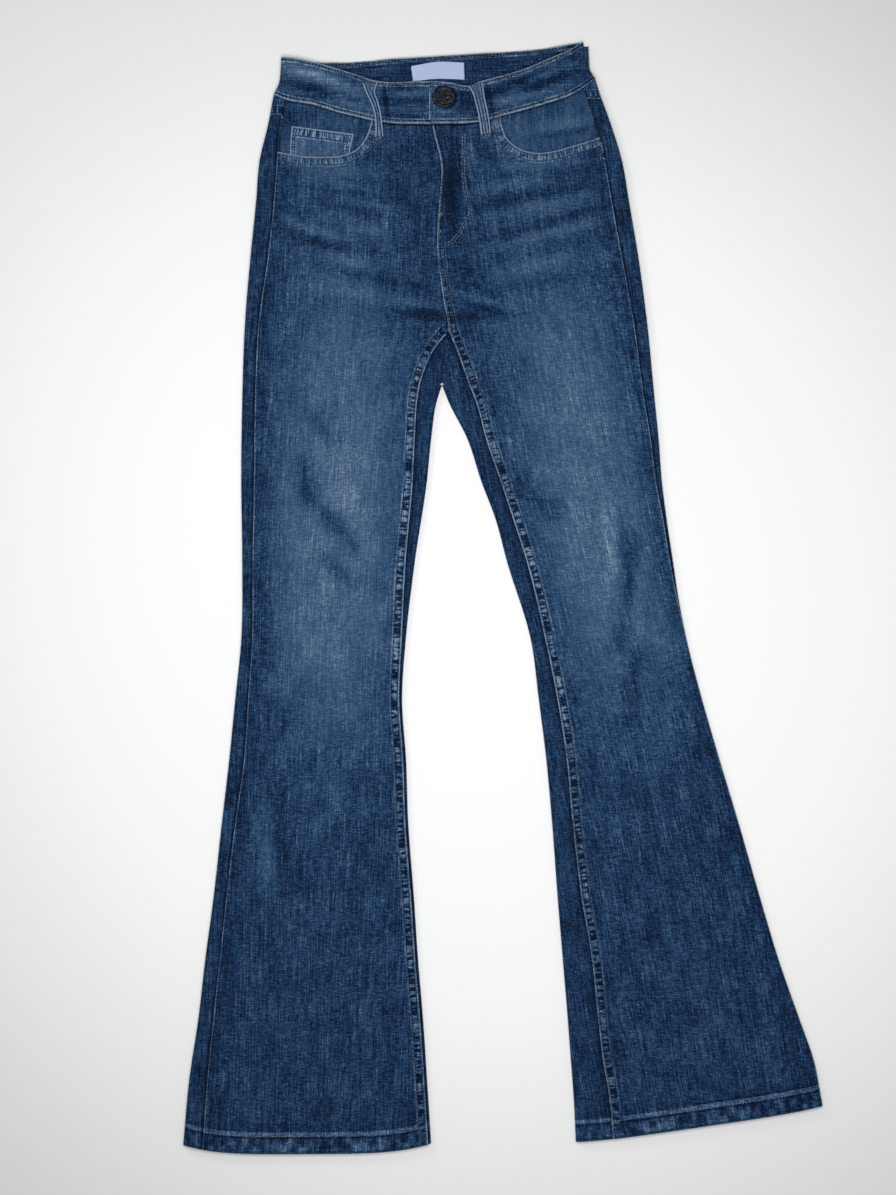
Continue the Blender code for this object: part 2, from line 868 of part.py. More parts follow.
def make_waistband():
    left_rows = front_band_rows(BAND_SEAM_LEFT, UNDERLAP_END_X, 15, lambda x: -lap_sink(x))
    cloth("waistband_left", left_rows, BAND)
    right_rows = front_band_rows(LAP_END_X, BAND_SEAM_RIGHT, 13, lap_lift)
    cloth("waistband_right", right_rows, BAND)
    cloth("waistband_back", back_band_rows(), BAND, DENIM_DARK, upward=False)


def make_fly():
    """The shield behind the fly and the closed zip between it and the right front."""

    def strip(name, low_y, start, width, depth, colour):
        rows = []
        for y in spread(low_y, FLY_HIGH_Y, 6):
            edge = read(CENTRE, 1, y) + start
            rows.append([(x, y, top_height(x, y) - depth) for x in spread(edge, edge + width, 3)])
        cloth(name, rows, THIN, colour)

    below_lap = LAP_DROP + DENIM + LAYER_GAP
    strip("fly_shield", SHIELD_LOW_Y, -SHIELD_PAST_EDGE, SHIELD_WIDTH, below_lap, DENIM_DARK)
    strip("zip", ZIP_LOW_Y, ZIP_FROM_EDGE, ZIP_WIDTH, DENIM + LAYER_GAP, TAPE_NAVY)


def make_front_pockets():
    """The facings that show in the pocket mouths, the bags below them, and the coin pocket."""
    for side, inner_x in FACING_INNER.items():
        data = SIDES[side]
        rows = []
        for down in spread(0, 1, 3):
            row = []
            for across in spread(0, 1, 6):
                low_outer = read(data["side"], 2, FACING_LOW) + data["inward"] * FACING_INSET_LOW
                high_outer = read(data["side"], 2, FACING_HIGH_Y) + data["inward"] * FACING_INSET_HIGH
                outer = low_outer + (high_outer - low_outer) * down
                x = outer + (inner_x - outer) * across
                high = read(FRONT_WAIST, 1, x) - SEAM_GAP
                y = FACING_LOW + (high - FACING_LOW) * down
                row.append((x, y, top_height(x, y) - FACING_DEPTH))
            rows.append(row)
        cloth(f"pocket_facing_{side}", rows, THIN, DENIM_BLUE)
        bag = []
        for down in spread(0, 1, 4):
            y = BAG_LOW + (FACING_LOW - SEAM_GAP - BAG_LOW) * down
            taper = (1 - down) ** 3
            outer = read(data["side"], 2, y) + data["inward"] * (BAG_INSET + BAG_OUTER_TAPER * taper)
            inner = inner_x - data["inward"] * BAG_INNER_TAPER * taper
            bag.append([(x, y, top_height(x, y) - FACING_DEPTH) for x in spread(outer, inner, 4)])
        cloth(f"pocket_bag_{side}", bag, THIN, LABEL_WHITE)
    rows = []
    for left_x, left_y, right_x, right_y in COIN_POCKET:
        xs = spread(left_x, right_x, 4)
        ys = spread(left_y, right_y, 4)
        rows.append([(x, y, top_height(x, y) - DENIM - LAYER_GAP) for x, y in zip(xs, ys)])
    cloth("coin_pocket", rows, THIN, DENIM_BLUE)


def make_back_pockets():
    """Pointed patch pockets that lie on the floor, under the raised cloth of the backs."""
    for side, middle in BACK_POCKETS.items():
        half = BACK_POCKET_WIDTH / 2
        foot = BACK_POCKET_FOOT / 2
        outline = [
            (middle - half, BACK_POCKET_TOP),
            (middle + half, BACK_POCKET_TOP),
            (middle + foot, BACK_POCKET_TOP - BACK_POCKET_SIDE),
            (middle, BACK_POCKET_TOP - BACK_POCKET_POINT),
            (middle - foot, BACK_POCKET_TOP - BACK_POCKET_SIDE),
        ]
        slab(f"back_pocket_{side}", outline, 0.0, DENIM, DENIM_DARK)


def slab(name, outline, low, thickness, colour):
    """A flat piece cut to an outline, as a filled and extruded curve turned into a mesh."""
    curve = bpy.data.curves.new(name + " outline", "CURVE")
    curve.dimensions = "2D"
    curve.fill_mode = "BOTH"
    curve.extrude = thickness / 2 * MM
    spline = curve.splines.new("POLY")
    spline.points.add(len(outline) - 1)
    for point, (x, y) in zip(spline.points, outline):
        point.co = (x * MM, y * MM, 0, 1)
    spline.use_cyclic_u = True
    guide = bpy.data.objects.new(name + " guide", curve)
    bpy.data.collections["jeans"].objects.link(guide)
    bpy.context.view_layer.update()
    mesh = bpy.data.meshes.new_from_object(guide.evaluated_get(bpy.context.evaluated_depsgraph_get()))
    mesh.name = name
    work = bmesh.new()
    work.from_mesh(mesh)
    bmesh.ops.remove_doubles(work, verts=work.verts, dist=1e-6)
    bmesh.ops.recalc_face_normals(work, faces=work.faces)
    work.to_mesh(mesh)
    work.free()
    bpy.data.objects.remove(guide)
    obj = add_object(name, mesh, colour)
    obj.location.z = (low + thickness / 2) * MM
    return obj


def make_belt_loops():
    """Two loops over the front of the band and three under the back of it."""
    for name, route in FRONT_LOOPS.items():
        rows = []
        for middle, y in along(np.array(route, float), 8):
            row = []
            for x in spread(middle - LOOP_WIDTH / 2, middle + LOOP_WIDTH / 2, 2):
                seam = read(FRONT_WAIST, 1, x)
                on_band = smooth_step((y - (seam - LOOP_STEP_BELOW)) / LOOP_STEP_RUN)
                lift = lap_lift(x) if "right" in name else 0.0
                row.append((x, y, top_height(x, y) + (BAND_RISE + lift) * on_band + LAYER_GAP + LOOP))
            rows.append(row)
        cloth(name, rows, LOOP, DENIM_BLUE)
    for name, loop in REAR_LOOPS.items():
        half = LOOP_WIDTH / 2
        lean = loop["lean"]
        outline = [
            (loop["x"] - half - lean, loop["low"]),
            (loop["x"] + half - lean, loop["low"]),
            (loop["x"] + half, loop["high"] - LOOP_CORNER),
            (loop["x"] + half + lean, loop["high"]),
            (loop["x"] - half + lean, loop["high"]),
        ]
        slab(name, outline, 0.0, LOOP, DENIM_DARK)


def make_label():
    """The bare label on the inner face of the back band."""
    slab("waist_label", LABEL_OUTLINE, LOOP_RAISE + BAND + LAYER_GAP, THIN, LABEL_WHITE)


def make_button():
    """A turned shank button: a domed cap with a rolled rim, on a short shank."""
    base = band_top(BUTTON_X, BUTTON_Y) + lap_lift(BUTTON_X) + LAYER_GAP
    mesh = bpy.data.meshes.new("button")
    points = [(share * BUTTON_RADIUS * MM, 0, height * MM) for share, height in BUTTON_PROFILE]
    mesh.from_pydata(points, [(i, i + 1) for i in range(len(points) - 1)], [])
    obj = add_object("button", mesh, OLD_METAL, 0.45, 1.0)
    obj.location = (BUTTON_X * MM, BUTTON_Y * MM, base * MM)
    turn = obj.modifiers.new("turned", "SCREW")
    turn.steps = 24
    turn.render_steps = 24
    turn.use_merge_vertices = True
    turn.merge_threshold = 0.00001
    return obj


def main():
    for obj in list(bpy.data.objects):
        bpy.data.objects.remove(obj)
    collection = bpy.data.collections.new("jeans")
    bpy.context.scene.collection.children.link(collection)
    make_fronts()
    make_backs()
    make_waistband()
    make_fly()
    make_front_pockets()
    make_back_pockets()
    make_belt_loops()
    make_label()
    make_button()


main()
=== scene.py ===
"""Flared five-pocket jeans laid flat: cloth, seams, thread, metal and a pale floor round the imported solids.

Shapes are worked out in millimetres and turned into metres when a mesh is made. Left and right are the
viewer's, looking down on the front. +Y runs from the hems to the waist and +Z is up from the floor.
"""

import math

import bpy
import numpy as np
from bpy.props import FloatProperty, FloatVectorProperty, PointerProperty
from bpy.types import Operator, Panel, PropertyGroup
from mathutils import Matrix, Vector
from mathutils.bvhtree import BVHTree


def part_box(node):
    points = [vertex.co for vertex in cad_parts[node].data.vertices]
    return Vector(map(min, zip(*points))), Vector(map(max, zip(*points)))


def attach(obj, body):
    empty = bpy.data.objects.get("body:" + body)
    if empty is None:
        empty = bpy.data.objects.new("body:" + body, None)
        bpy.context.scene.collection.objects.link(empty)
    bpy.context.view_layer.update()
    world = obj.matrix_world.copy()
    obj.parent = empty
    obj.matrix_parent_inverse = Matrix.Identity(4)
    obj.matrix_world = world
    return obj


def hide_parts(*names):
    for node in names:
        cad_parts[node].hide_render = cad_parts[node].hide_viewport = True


bl_info = {
    "name": "Flared jeans",
    "version": (1, 0, 0),
    "blender": (4, 5, 0),
    "location": "View3D > Sidebar > Jeans",
    "description": "Builds faded, flared five-pocket jeans laid flat on a pale floor",
    "category": "Add Mesh",
}

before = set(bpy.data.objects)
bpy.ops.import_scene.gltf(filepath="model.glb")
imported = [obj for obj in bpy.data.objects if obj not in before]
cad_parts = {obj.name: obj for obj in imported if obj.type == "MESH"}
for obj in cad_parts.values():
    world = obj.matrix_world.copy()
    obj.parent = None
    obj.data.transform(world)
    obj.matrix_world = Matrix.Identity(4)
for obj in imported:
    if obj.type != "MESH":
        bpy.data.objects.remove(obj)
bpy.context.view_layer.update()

MM = 0.001


def as_table(*rows):
    """A table of numbers from its rows."""
    return np.array(rows, float)



# Cloth and heights
DENIM = 1.2
BAND = 2.4
THIN = 1.0
LOOP = 1.4
SEAM_GAP = 0.5
LAYER_GAP = 0.3
LEG_HEIGHT = 6.0
HIP_HEIGHT = 7.4
LEG_CROWN = 0.6
FOLD_RADIUS = 3.0
BAND_RISE = 0.8
POCKET_RAISE = 1.5
LOOP_RAISE = 1.8

# Main levels along the garment: the top of the gap between the legs, where four panels meet, the hips' rise
APEX_Y = 213.0
CROSS_Y = 265.0
HIP_RISE_Y = 190.0
HIP_RISE_LENGTH = 110.0
CROWN_END_Y = 150.0
CROWN_FADE = 60.0

# Hem: how far the cloth is turned up and stands proud, and how far the middle hangs below the corners
HEM_DEPTH_SHARE = 0.0215
HEM_STEP_SHARE = 0.003
HEM_RISE = 0.8
HEM_BOWS = {"left": 9.5, "right": 3.0}

# The fold columns of the next four tables are no outline worked out from the garment's sizes: a program read
# them off the edges of the cloth in the reference picture, and they were turned into millimetres

# Outer fold of the left leg and hip, and the outseam that shows beside it
SIDE_LEFT = as_table(
    # y, fold, outseam
    (-547, -320, -300.5),
    (-482, -314, -296),
    (-422, -305, -290),
    (-362, -298, -283.5),
    (-302, -290, -277),
    (-222, -281, -267.5),
    (-162, -274, -259),
    (-102, -268, -255),
    (-42, -262, -251),
    (38, -261, -250.5),
    (118, -262, -249),
    (198, -261, -248),
    (278, -258, -244),
    (338, -253, -235.5),
    (398, -247, -229),
    (438, -243.5, -226),
    (474, -235, -223),
    (506, -229, -217),
)

# Outer fold of the right leg and hip: below the knee the outseam lies on the fold itself
SIDE_RIGHT = as_table(
    # y, fold, outseam
    (-508, 320, 320),
    (-462, 311, 311),
    (-422, 297, 297),
    (-362, 276, 276),
    (-302, 258, 258),
    (-222, 235, 235),
    (-162, 217, 217),
    (-102, 199.5, 199.5),
    (-42, 184, 184),
    (-2, 176, 175),
    (38, 170, 167),
    (78, 164, 160.5),
    (118, 159, 153),
    (158, 156, 148),
    (198, 152, 141.5),
    (278, 144, 130.5),
    (338, 136, 119.5),
    (398, 126, 108.5),
    (438, 119, 101.5),
    (474, 108, 93),
    (506, 96.5, 81.5),
    (520, 92, 78),
)

# Inner fold of each leg and the inseam beside it, from the hem to the top of the gap between the legs
INNER_LEFT = as_table(
    # y, fold, inseam
    (-545.5, -72, -74.5),
    (-482, -76, -78.5),
    (-422, -80, -82.5),
    (-362, -85, -87.5),
    (-302, -89, -91.5),
    (-222, -95, -97.5),
    (-162, -97, -99.5),
    (-102, -101, -103.5),
    (-42, -97.3, -101),
    (38, -88, -97),
    (118, -76, -90),
    (158, -72, -88),
    (198, -66, -85.5),
    (213, -61.2, -83),
)
INNER_RIGHT = as_table(
    # y, fold, inseam
    (-544, 73, 110),
    (-502, 71, 106.3),
    (-462, 68, 99.5),
    (-422, 65, 94.8),
    (-362, 60, 88.5),
    (-302, 55, 78.5),
    (-222, 49, 69),
    (-162, 43.5, 63.3),
    (-102, 36, 54),
    (-42, 28, 42),
    (38, 3.7, 22.7),
    (78, -7, 10),
    (118, -22, -3.3),
    (158, -35, -17),
    (198, -55, -28),
    (213, -60.8, -34),
)

# The fork of the backs, which comes over the crotch between the two inseams and ends where four panels meet
FORK = as_table(
    # y, left inseam, crease, right inseam
    (213, -83, -61, -34),
    (230, -77.5, -60.5, -40),
    (248, -69, -58.5, -46.5),
    (265, -55.5, -54.5, -53.5),
)

# Centre front, where the right front laps over the left
CENTRE = as_table(
    # y, x
    (213, -61),
    (240, -59),
    (265, -54.5),
    (300, -60),
    (350, -66),
    (398, -63.8),
    (430, -61.8),
    (474, -71),
    (541, -71),
)

# Pocket mouths, from the outseam to the waist seam
MOUTH_LEFT = as_table(
    # x, y
    (-225, 446),
    (-203, 442),
    (-182, 441),
    (-160, 442.6),
    (-148.5, 447),
    (-140, 455.5),
    (-135, 465),
    (-131.5, 476.6),
)
MOUTH_RIGHT = as_table(
    # x, y
    (98, 461),
    (84, 456),
    (70, 452),
    (50, 446.5),
    (31.8, 445),
    (16.5, 449.4),
    (3.7, 459.6),
    (-2.6, 478.2),
)

# Waist seams and top edges of the band
FRONT_WAIST = as_table(
    # x, waist seam, top edge
    (-229, 503, 541),
    (-218, 498.5, 540.5),
    (-189, 493, 535.5),
    (-163, 485, 528),
    (-144, 480.5, 522),
    (-131, 477.3, 517.5),
    (-118, 475.3, 515.6),
    (-81, 474, 516.5),
    (-52, 474, 514.5),
    (-35, 474.5, 511.5),
    (-21, 476.5, 516.5),
    (1, 482.5, 522.5),
    (21, 487.8, 528.5),
    (47, 495.5, 539.5),
    (67, 502.5, 548),
    (81, 510.5, 556),
    (92, 519, 557),
)
BACK_WAIST = as_table(
    # x, waist seam, top edge
    (-229, 503, 541),
    (-185, 500, 536),
    (-103, 500, 540),
    (-7, 505, 546),
    (41, 511, 550),
    (81, 516, 556),
    (92, 519, 557),
)
BAND_SIDES = as_table(
    # share of the band's width, left fold, right fold
    (0, -229.5, 92.5),
    (0.35, -224, 86),
    (0.7, -222.5, 81.5),
    (1, -222, 80.5),
)

# Yoke seam on the underside: its height at the left side, the middle and the right side
YOKE_SIDE_LEFT = 483.0
YOKE_MIDDLE = 440.0
YOKE_SIDE_RIGHT = 499.0

# Fly: how far the left front runs on under the right, and the pieces behind it
LAP_WIDTH = 6.0
LAP_DROP = 1.6
SHIELD_WIDTH = 36.0
SHIELD_LOW_Y = 322.0
ZIP_LOW_Y = 340.0
ZIP_FROM_EDGE = 9.0
ZIP_WIDTH = 21.0
LAP_END_X = -74.0
UNDERLAP_END_X = -40.0

# Front pockets: the facings' lower edge, how deep they lie, how far they reach to the centre, and the bags
FACING_LOW = 424.0
FACING_DEPTH = DENIM + LAYER_GAP + THIN + LAYER_GAP
FACING_INNER = {"left": -124.0, "right": -10.0}
BAG_LOW = 318.0
COIN_POCKET = (
    # left x, left y, right x, right y, from its hidden foot to its hem
    (-213.0, 428.0, -157.0, 428.0),
    (-213.0, 446.0, -153.0, 447.0),
    (-211.5, 472.0, -149.0, 464.0),
)

# Patch pockets on the underside
BACK_POCKET_TOP = 426.0
BACK_POCKET_SIDE = 122.0
BACK_POCKET_POINT = 145.0
BACK_POCKET_WIDTH = 128.0
BACK_POCKET_FOOT = 112.0
BACK_POCKETS = {"left": -155.0, "right": 33.0}
RAISE_MARGIN = 20.0
RAISE_RAMP = 16.0

# Metal button
BUTTON_X = -58.5
BUTTON_Y = 500.0
BUTTON_RADIUS = 10.5

# Belt loops
LOOP_WIDTH = 11.5
FRONT_LOOPS = {
    # middle line of each loop, as x, y, from the top of the band down
    "belt_loop_front_left": (
        (-133, 514.5), (-132.5, 506), (-128, 494), (-125, 482), (-124, 472), (-123.5, 461)
    ),
    "belt_loop_front_right": ((-27.5, 513), (-25, 506), (-23, 497), (-20, 484), (-18, 472), (-17, 464)),
}
LABEL_MARGIN = 44.0
LABEL_OUTLINE = ((-92, 532), (-64, 536.5), (-39, 535.5), (-38.5, 518.5), (-60, 519.5), (-90, 517))
REAR_LOOPS = {
    "belt_loop_side_left": {"x": -196.0, "low": 484.0, "high": 535.0, "lean": 0.0, "margin": RAISE_MARGIN},
    "belt_loop_back": {"x": -66.0, "low": 488.0, "high": 541.0, "lean": 0.0, "margin": LABEL_MARGIN},
    "belt_loop_side_right": {"x": 81.0, "low": 494.0, "high": 552.0, "lean": -2.5, "margin": RAISE_MARGIN},
}

# The largest creases of the front: soft ridges, each a line between two points
CREASES = as_table(
    # x from, y from, x to, y to, height, half width
    (-191, 180, -170, 157, 1.2, 9),
    (-196, 136, -192, 105, 1.6, 9),
    (-192, 105, -166, 76, 1.8, 9),
    (-166, 76, -150, 52, 1.2, 9),
    (-175, 42, -151, 15, 1.3, 9),
    (128, 64, 121, 15, 1.4, 8),
    (121, 15, 112, -50, 1.6, 8),
    (130, -58, 122, -124, 1.4, 9),
    (17, 112, 53, 90, 1.2, 11),
    (-241, -205, -204, -290, 1.3, 10),
)

QUARTER = FOLD_RADIUS * math.pi / 2
SIDES = {
    "left": {"side": SIDE_LEFT, "inner": INNER_LEFT, "inward": 1.0, "inseam_column": 1},
    "right": {"side": SIDE_RIGHT, "inner": INNER_RIGHT, "inward": -1.0, "inseam_column": 3},
}

# Where the left front goes down to lie under the right, and where the ends of the band cross
LAP_START_Y = 297.0
LAP_RUN = 18.0
DROP_START_Y = 258.0
DROP_RUN = 18.0
DROP_FROM_CENTRE = 14.0
DROP_WIDTH = 8.0
BAND_LIFT = 1.4
BAND_SINK = 1.3
BAND_SEAM_LEFT = -216.0
BAND_SEAM_RIGHT = 70.0
BAND_OVERLAP = 0.8
BAND_PROUD = 0.12

# Seams that stand proud: the width of each stitched strip, how high it stands and how much it puckers
INSEAM_STRIP = 8.5
MOUTH_STRIP = 8.5
HEM_STRIP = 17.5
HEM_RIM = 4.5
HEM_PERIOD = 19.0
BAND_STRIP = 3.2
STRIP_LIFT = 0.6
PUCKER = 0.35
TUCK_UNDER = 1.2
TUCK_DROP = 0.8

# How each seam's strip is stitched
STITCHED = {
    # width, amount of pucker, height, period
    "inseam": (INSEAM_STRIP, 1.0, STRIP_LIFT, 6.4),
    "mouth": (MOUTH_STRIP, 0.62, 0.5, 2.6),
    "hem": (HEM_STRIP, 1.0, 0.25, HEM_PERIOD),
    "crotch": (7.0, 0.7, 0.3, 4.0),
    "fly": (3.5, 1.3, 0.3, 5.0),
    "yoke": (8.0, 0.8, 0.0, 5.0),
    "coin hem": (9.0, 0.9, 0.35, 2.6),
    "coin side": (4.5, 0.8, 0.2, 3.0),
    "patch": (7.0, 0.7, 0.0, 4.0),
}

# Grain of the cloth: the middle line of each leg, which the warp follows
GRAIN = {
    "left": np.array([(-560, -190), (-200, -178), (0, -172), (200, -158), (400, -147), (545, -147)], float),
    "right": np.array([(-560, 216), (-200, 150), (0, 103), (200, 60), (400, 24), (545, 5)], float),
}

# Finer creases of the front: ridges are positive, troughs negative
FINE_CREASES = as_table(
    # x from, y from, x to, y to, height, half width
    (-203, 133, -200, 103, -0.9, 6),
    (-200, 103, -172, 68, -1.0, 6),
    (-172, 68, -157, 44, -0.8, 6),
    (-183, 186, -160, 166, -0.6, 7),
    (-184, 36, -158, 8, -0.8, 6),
    (-160, 110, -140, 80, 0.7, 10),
    (-215, -20, -190, -60, 0.7, 12),
    (-240, -75, -222, -90, 0.8, 5),
    (-250, -62, -232, -70, -0.8, 4),
    (-232, -190, -196, -285, -0.7, 8),
    (-150, -120, -120, -150, 0.5, 12),
    (136, 60, 129, 15, -0.9, 6),
    (128, 15, 120, -48, -1.0, 6),
    (112, 66, 108, 20, 0.6, 9),
    (137, -60, 130, -120, -0.8, 7),
    (150, -25, 184, -62, 0.7, 6),
    (128, 34, 168, -20, 0.5, 8),
    (20, 104, 56, 80, -0.7, 7),
    (36, 72, 66, 52, 0.6, 7),
    (-205, 395, -130, 372, 0.7, 8),
    (-205, 380, -135, 358, -0.7, 6),
    (-215, 372, -150, 340, 0.7, 8),
    (-212, 350, -120, 322, -0.7, 7),
    (-215, 338, -128, 306, 0.6, 9),
    (10, 372, 88, 398, 0.7, 8),
    (6, 356, 96, 384, -0.7, 7),
    (-8, 330, 98, 366, 0.7, 9),
    (-12, 312, 104, 350, -0.6, 8),
    (-96, 298, -66, 292, 0.8, 4),
    (-100, 288, -64, 282, -0.8, 4),
    (-50, 292, -8, 296, 0.8, 4),
    (-48, 282, -6, 287, -0.8, 4),
    (-46, 273, 0, 270, 0.6, 5),
    (-104, 276, -70, 272, 0.6, 5),
    (-116, 430, -104, 400, -0.5, 8),
    (-96, 440, -88, 402, 0.5, 8),
)

# Creases of the underside, pushed up into the garment
UNDER_CREASES = as_table(
    # x from, y from, x to, y to, height, half width
    (-205, 262, -110, 240, 0.9, 7),
    (-200, 238, -118, 222, 0.8, 7),
    (0, 244, 92, 268, 0.9, 7),
    (4, 222, 90, 244, 0.8, 7),
    (-220, 40, -140, 10, 1.0, 8),
    (-225, 8, -150, -24, 0.9, 8),
    (-218, -30, -150, -52, 0.8, 8),
    (70, 40, 140, 66, 1.0, 8),
    (74, 6, 150, 34, 0.9, 8),
    (82, -30, 150, -8, 0.8, 8),
    (-160, 180, -150, 110, 0.7, 9),
    (40, 170, 74, 110, 0.7, 9),
    (-230, -300, -180, -420, 0.8, 10),
    (180, -280, 200, -400, 0.8, 10),
)

# Belt loops: the width of the rolled strip along each edge
LOOP_STRIP = 2.2

# How far off the materials take an edge or a strip to be where none is near
FAR = 60.0
UNMARKED = (0.0, 99.0, 9.0)

# A strip's marks reach as far as this share of its width, and the runs of two strips are this far apart
STRIP_REACH = 1.4
STRIP_STEP = 200.0

# The blotches on the strips of the backs that come round to the front
BLOTCH_PERIOD = 15.0
BLOTCH_START = 90.0
BLOTCH_INSET = 3.0
BLOTCH_WIDTH = 60.0
BLOTCH_AMOUNT = 0.3

# Columns of a front, in shares of its width: the close ones beside each seam and the others between them
FRONT_SPAN = 215
FRONT_EDGE_CELL = 1.5
FRONT_EDGE_CELLS = 8
FRONT_MIDDLE_STOPS = 65

# Rows of a leg in its turned-up hem and in the step above it
HEM_ROWS = 9
HEM_STEP_ROWS = 4

# Hips: their length, how fast the columns turn to the waist's, and where they run beside the centre front
HIP_LENGTH = 250
HIP_BEND = 1.5
BESIDE_START_Y = 222
BESIDE_RUN = 50
BESIDE_REACH = 8
BESIDE_FADE = 20

# Where the right end of the band rises and the left end goes down
BAND_LIFT_X = -40
BAND_LIFT_RUN = 26
BAND_SINK_X = -106
BAND_SINK_RUN = 22

# Random wave along the seams
KNOTS = 4096

# A number for each piece, which sets its pattern apart from the others
PATTERN_PIECES = (
    "front_left", "front_right", "back_left", "back_right", "yoke", "band_left", "band_right", "band_back",
    "facing_left", "facing_right", "bag", "coin_pocket", "patch_pocket", "fly", "label",
)
SEEDS = {name: number for number, name in enumerate(PATTERN_PIECES, 1)}


def smooth_step(value):
    value = np.clip(value, 0.0, 1.0)
    return value * value * (3 - 2 * value)


def read(table, column, at):
    """The column's value at each station, on one smooth curve through the table's rows."""
    stations = table[:, 0]
    values = table[:, column]
    slopes = np.gradient(values, stations)
    at = np.clip(at, stations[0], stations[-1])
    index = np.clip(np.searchsorted(stations, at) - 1, 0, len(stations) - 2)
    span = stations[index + 1] - stations[index]
    share = (at - stations[index]) / span
    return (
        values[index] * (1 + 2 * share) * (1 - share) ** 2
        + slopes[index] * span * share * (1 - share) ** 2
        + values[index + 1] * share**2 * (3 - 2 * share)
        + slopes[index + 1] * span * share**2 * (share - 1)
    )


def lengths(points):
    """The way along a line of points to each of them."""
    return np.concatenate([[0], np.cumsum(np.hypot(*np.diff(points, axis=0).T))])


def along(points, steps):
    """Places on a smooth curve through the points, each at a share of its length."""
    points = np.asarray(points, float)
    way = lengths(points)
    table = np.column_stack([way, points])
    at = np.asarray(steps) * way[-1]
    return np.column_stack([read(table, column, at) for column in range(1, points.shape[1] + 1)])


def ridge_height(table, x, y):
    """Sum of the soft ridges of a table at each place."""
    total = np.zeros(np.broadcast(x, y).shape)
    for from_x, from_y, to_x, to_y, height, half_width in table:
        run_x, run_y = to_x - from_x, to_y - from_y
        share = np.clip(((x - from_x) * run_x + (y - from_y) * run_y) / (run_x**2 + run_y**2), 0, 1)
        apart = np.hypot(x - from_x - run_x * share, y - from_y - run_y * share)
        total = total + height * np.exp(-((apart / half_width) ** 2))
    return total


def top_height(x, y):
    """Height of the upper face of the front."""
    rise = smooth_step((y - HIP_RISE_Y) / HIP_RISE_LENGTH)
    strength = bpy.context.scene.jeans_cloth.crease_strength
    creases = ridge_height(CREASES, x, y) + ridge_height(FINE_CREASES, x, y)
    return LEG_HEIGHT + (HIP_HEIGHT - LEG_HEIGHT) * rise + creases * strength


def patch_share(x, y, middle, half_width, low, high, margin=RAISE_MARGIN):
    """1 inside a patch and its margin, falling to 0 over the ramp round it."""
    apart = np.maximum(np.maximum(np.abs(x - middle) - half_width, np.maximum(low - y, y - high)), 0)
    return 1 - smooth_step((apart - margin) / RAISE_RAMP)


def bottom_height(x, y):
    """Height of the under face of the back: 0, or raised over what is sewn on below it and by its creases."""
    raised = ridge_height(UNDER_CREASES, x, y)
    for middle in BACK_POCKETS.values():
        low = BACK_POCKET_TOP - BACK_POCKET_POINT
        share = patch_share(x, y, middle, BACK_POCKET_WIDTH / 2, low, BACK_POCKET_TOP)
        raised = np.maximum(raised, POCKET_RAISE * share)
    for loop in REAR_LOOPS.values():
        share = patch_share(x, y, loop["x"], LOOP_WIDTH / 2, loop["low"], loop["high"], loop["margin"])
        raised = np.maximum(raised, LOOP_RAISE * share)
    return raised


def fold_place(arc, radius=FOLD_RADIUS):
    """How far inward and how high, from -1 to 1, each point lies that is this far round a fold."""
    quarter = radius * math.pi / 2
    size = np.abs(arc)
    angle = np.minimum(size, quarter) / radius
    inward = np.where(size < quarter, radius * (1 - np.cos(angle)), radius + size - quarter)
    return inward, np.sign(arc) * np.sin(angle)


def arc_of(inset, radius=FOLD_RADIUS):
    """The way round the fold to a place on the upper layer that is this far inside the outline."""
    bent = radius * np.arccos(1 - np.clip(inset, 0, radius) / radius)
    return np.where(inset < radius, bent, inset - radius + radius * math.pi / 2)


def layer_height(x, y, rise, extra):
    """Height of a point of a flattened tube whose rise is -1 below and 1 above."""
    high = top_height(x, y) + extra
    middle = np.where(y < APEX_Y, LEG_HEIGHT, high) / 2
    return np.where(rise > 0, middle + (high - middle) * rise, middle + (middle - bottom_height(x, y)) * rise)


def stops(values, cells):
    """Columns that run through the values, with that many cells from each to the next."""
    columns = [values[0]]
    for start, end, count in zip(values, values[1:], cells):
        columns += [start + (end - start) * step / count for step in range(1, count + 1)]
    return np.concatenate([np.broadcast_to(column, values[0].shape) for column in columns], axis=1)


def leg_ends(side, share):
    """The two folds of a leg at a share of the way from its hem to the top of the gap."""
    data = SIDES[side]
    outer_y = data["side"][0, 0] * (1 - share) + APEX_Y * share
    inner_y = data["inner"][0, 0] * (1 - share) + APEX_Y * share
    return (read(data["side"], 1, outer_y), outer_y), (read(data["inner"], 1, inner_y), inner_y)


def leg_place(side, share, arc, from_outer):
    """x, y, rise and extra height of points this far round the outer or inner fold of a leg."""
    outer, inner = leg_ends(side, share)
    width = np.hypot(inner[0] - outer[0], inner[1] - outer[1])
    inward, rise = fold_place(arc)
    part = np.where(from_outer, inward / width, 1 - inward / width)
    x = outer[0] + (inner[0] - outer[0]) * part
    y = outer[1] + (inner[1] - outer[1]) * part
    y = y - HEM_BOWS[side] * (1 - np.abs(2 * part - 1) ** 4) * (1 - share) ** 6
    crown = LEG_CROWN * np.sin(math.pi * part) * (1 - smooth_step((y - CROWN_END_Y) / CROWN_FADE))
    turned_up = HEM_RISE * (1 - smooth_step((share - HEM_DEPTH_SHARE) / HEM_STEP_SHARE))
    return np.stack([x, y, rise, crown + turned_up], axis=-1)


def seam_arcs(side, share):
    """The ways round the outer and inner folds to the outseam and the inseam of a leg."""
    data = SIDES[side]
    outer, inner = leg_ends(side, share)
    outseam = np.abs(read(data["side"], 2, outer[1]) - outer[0])
    inseam = np.abs(read(data["inner"], 2, inner[1]) - inner[0])
    return arc_of(outseam), arc_of(inseam)


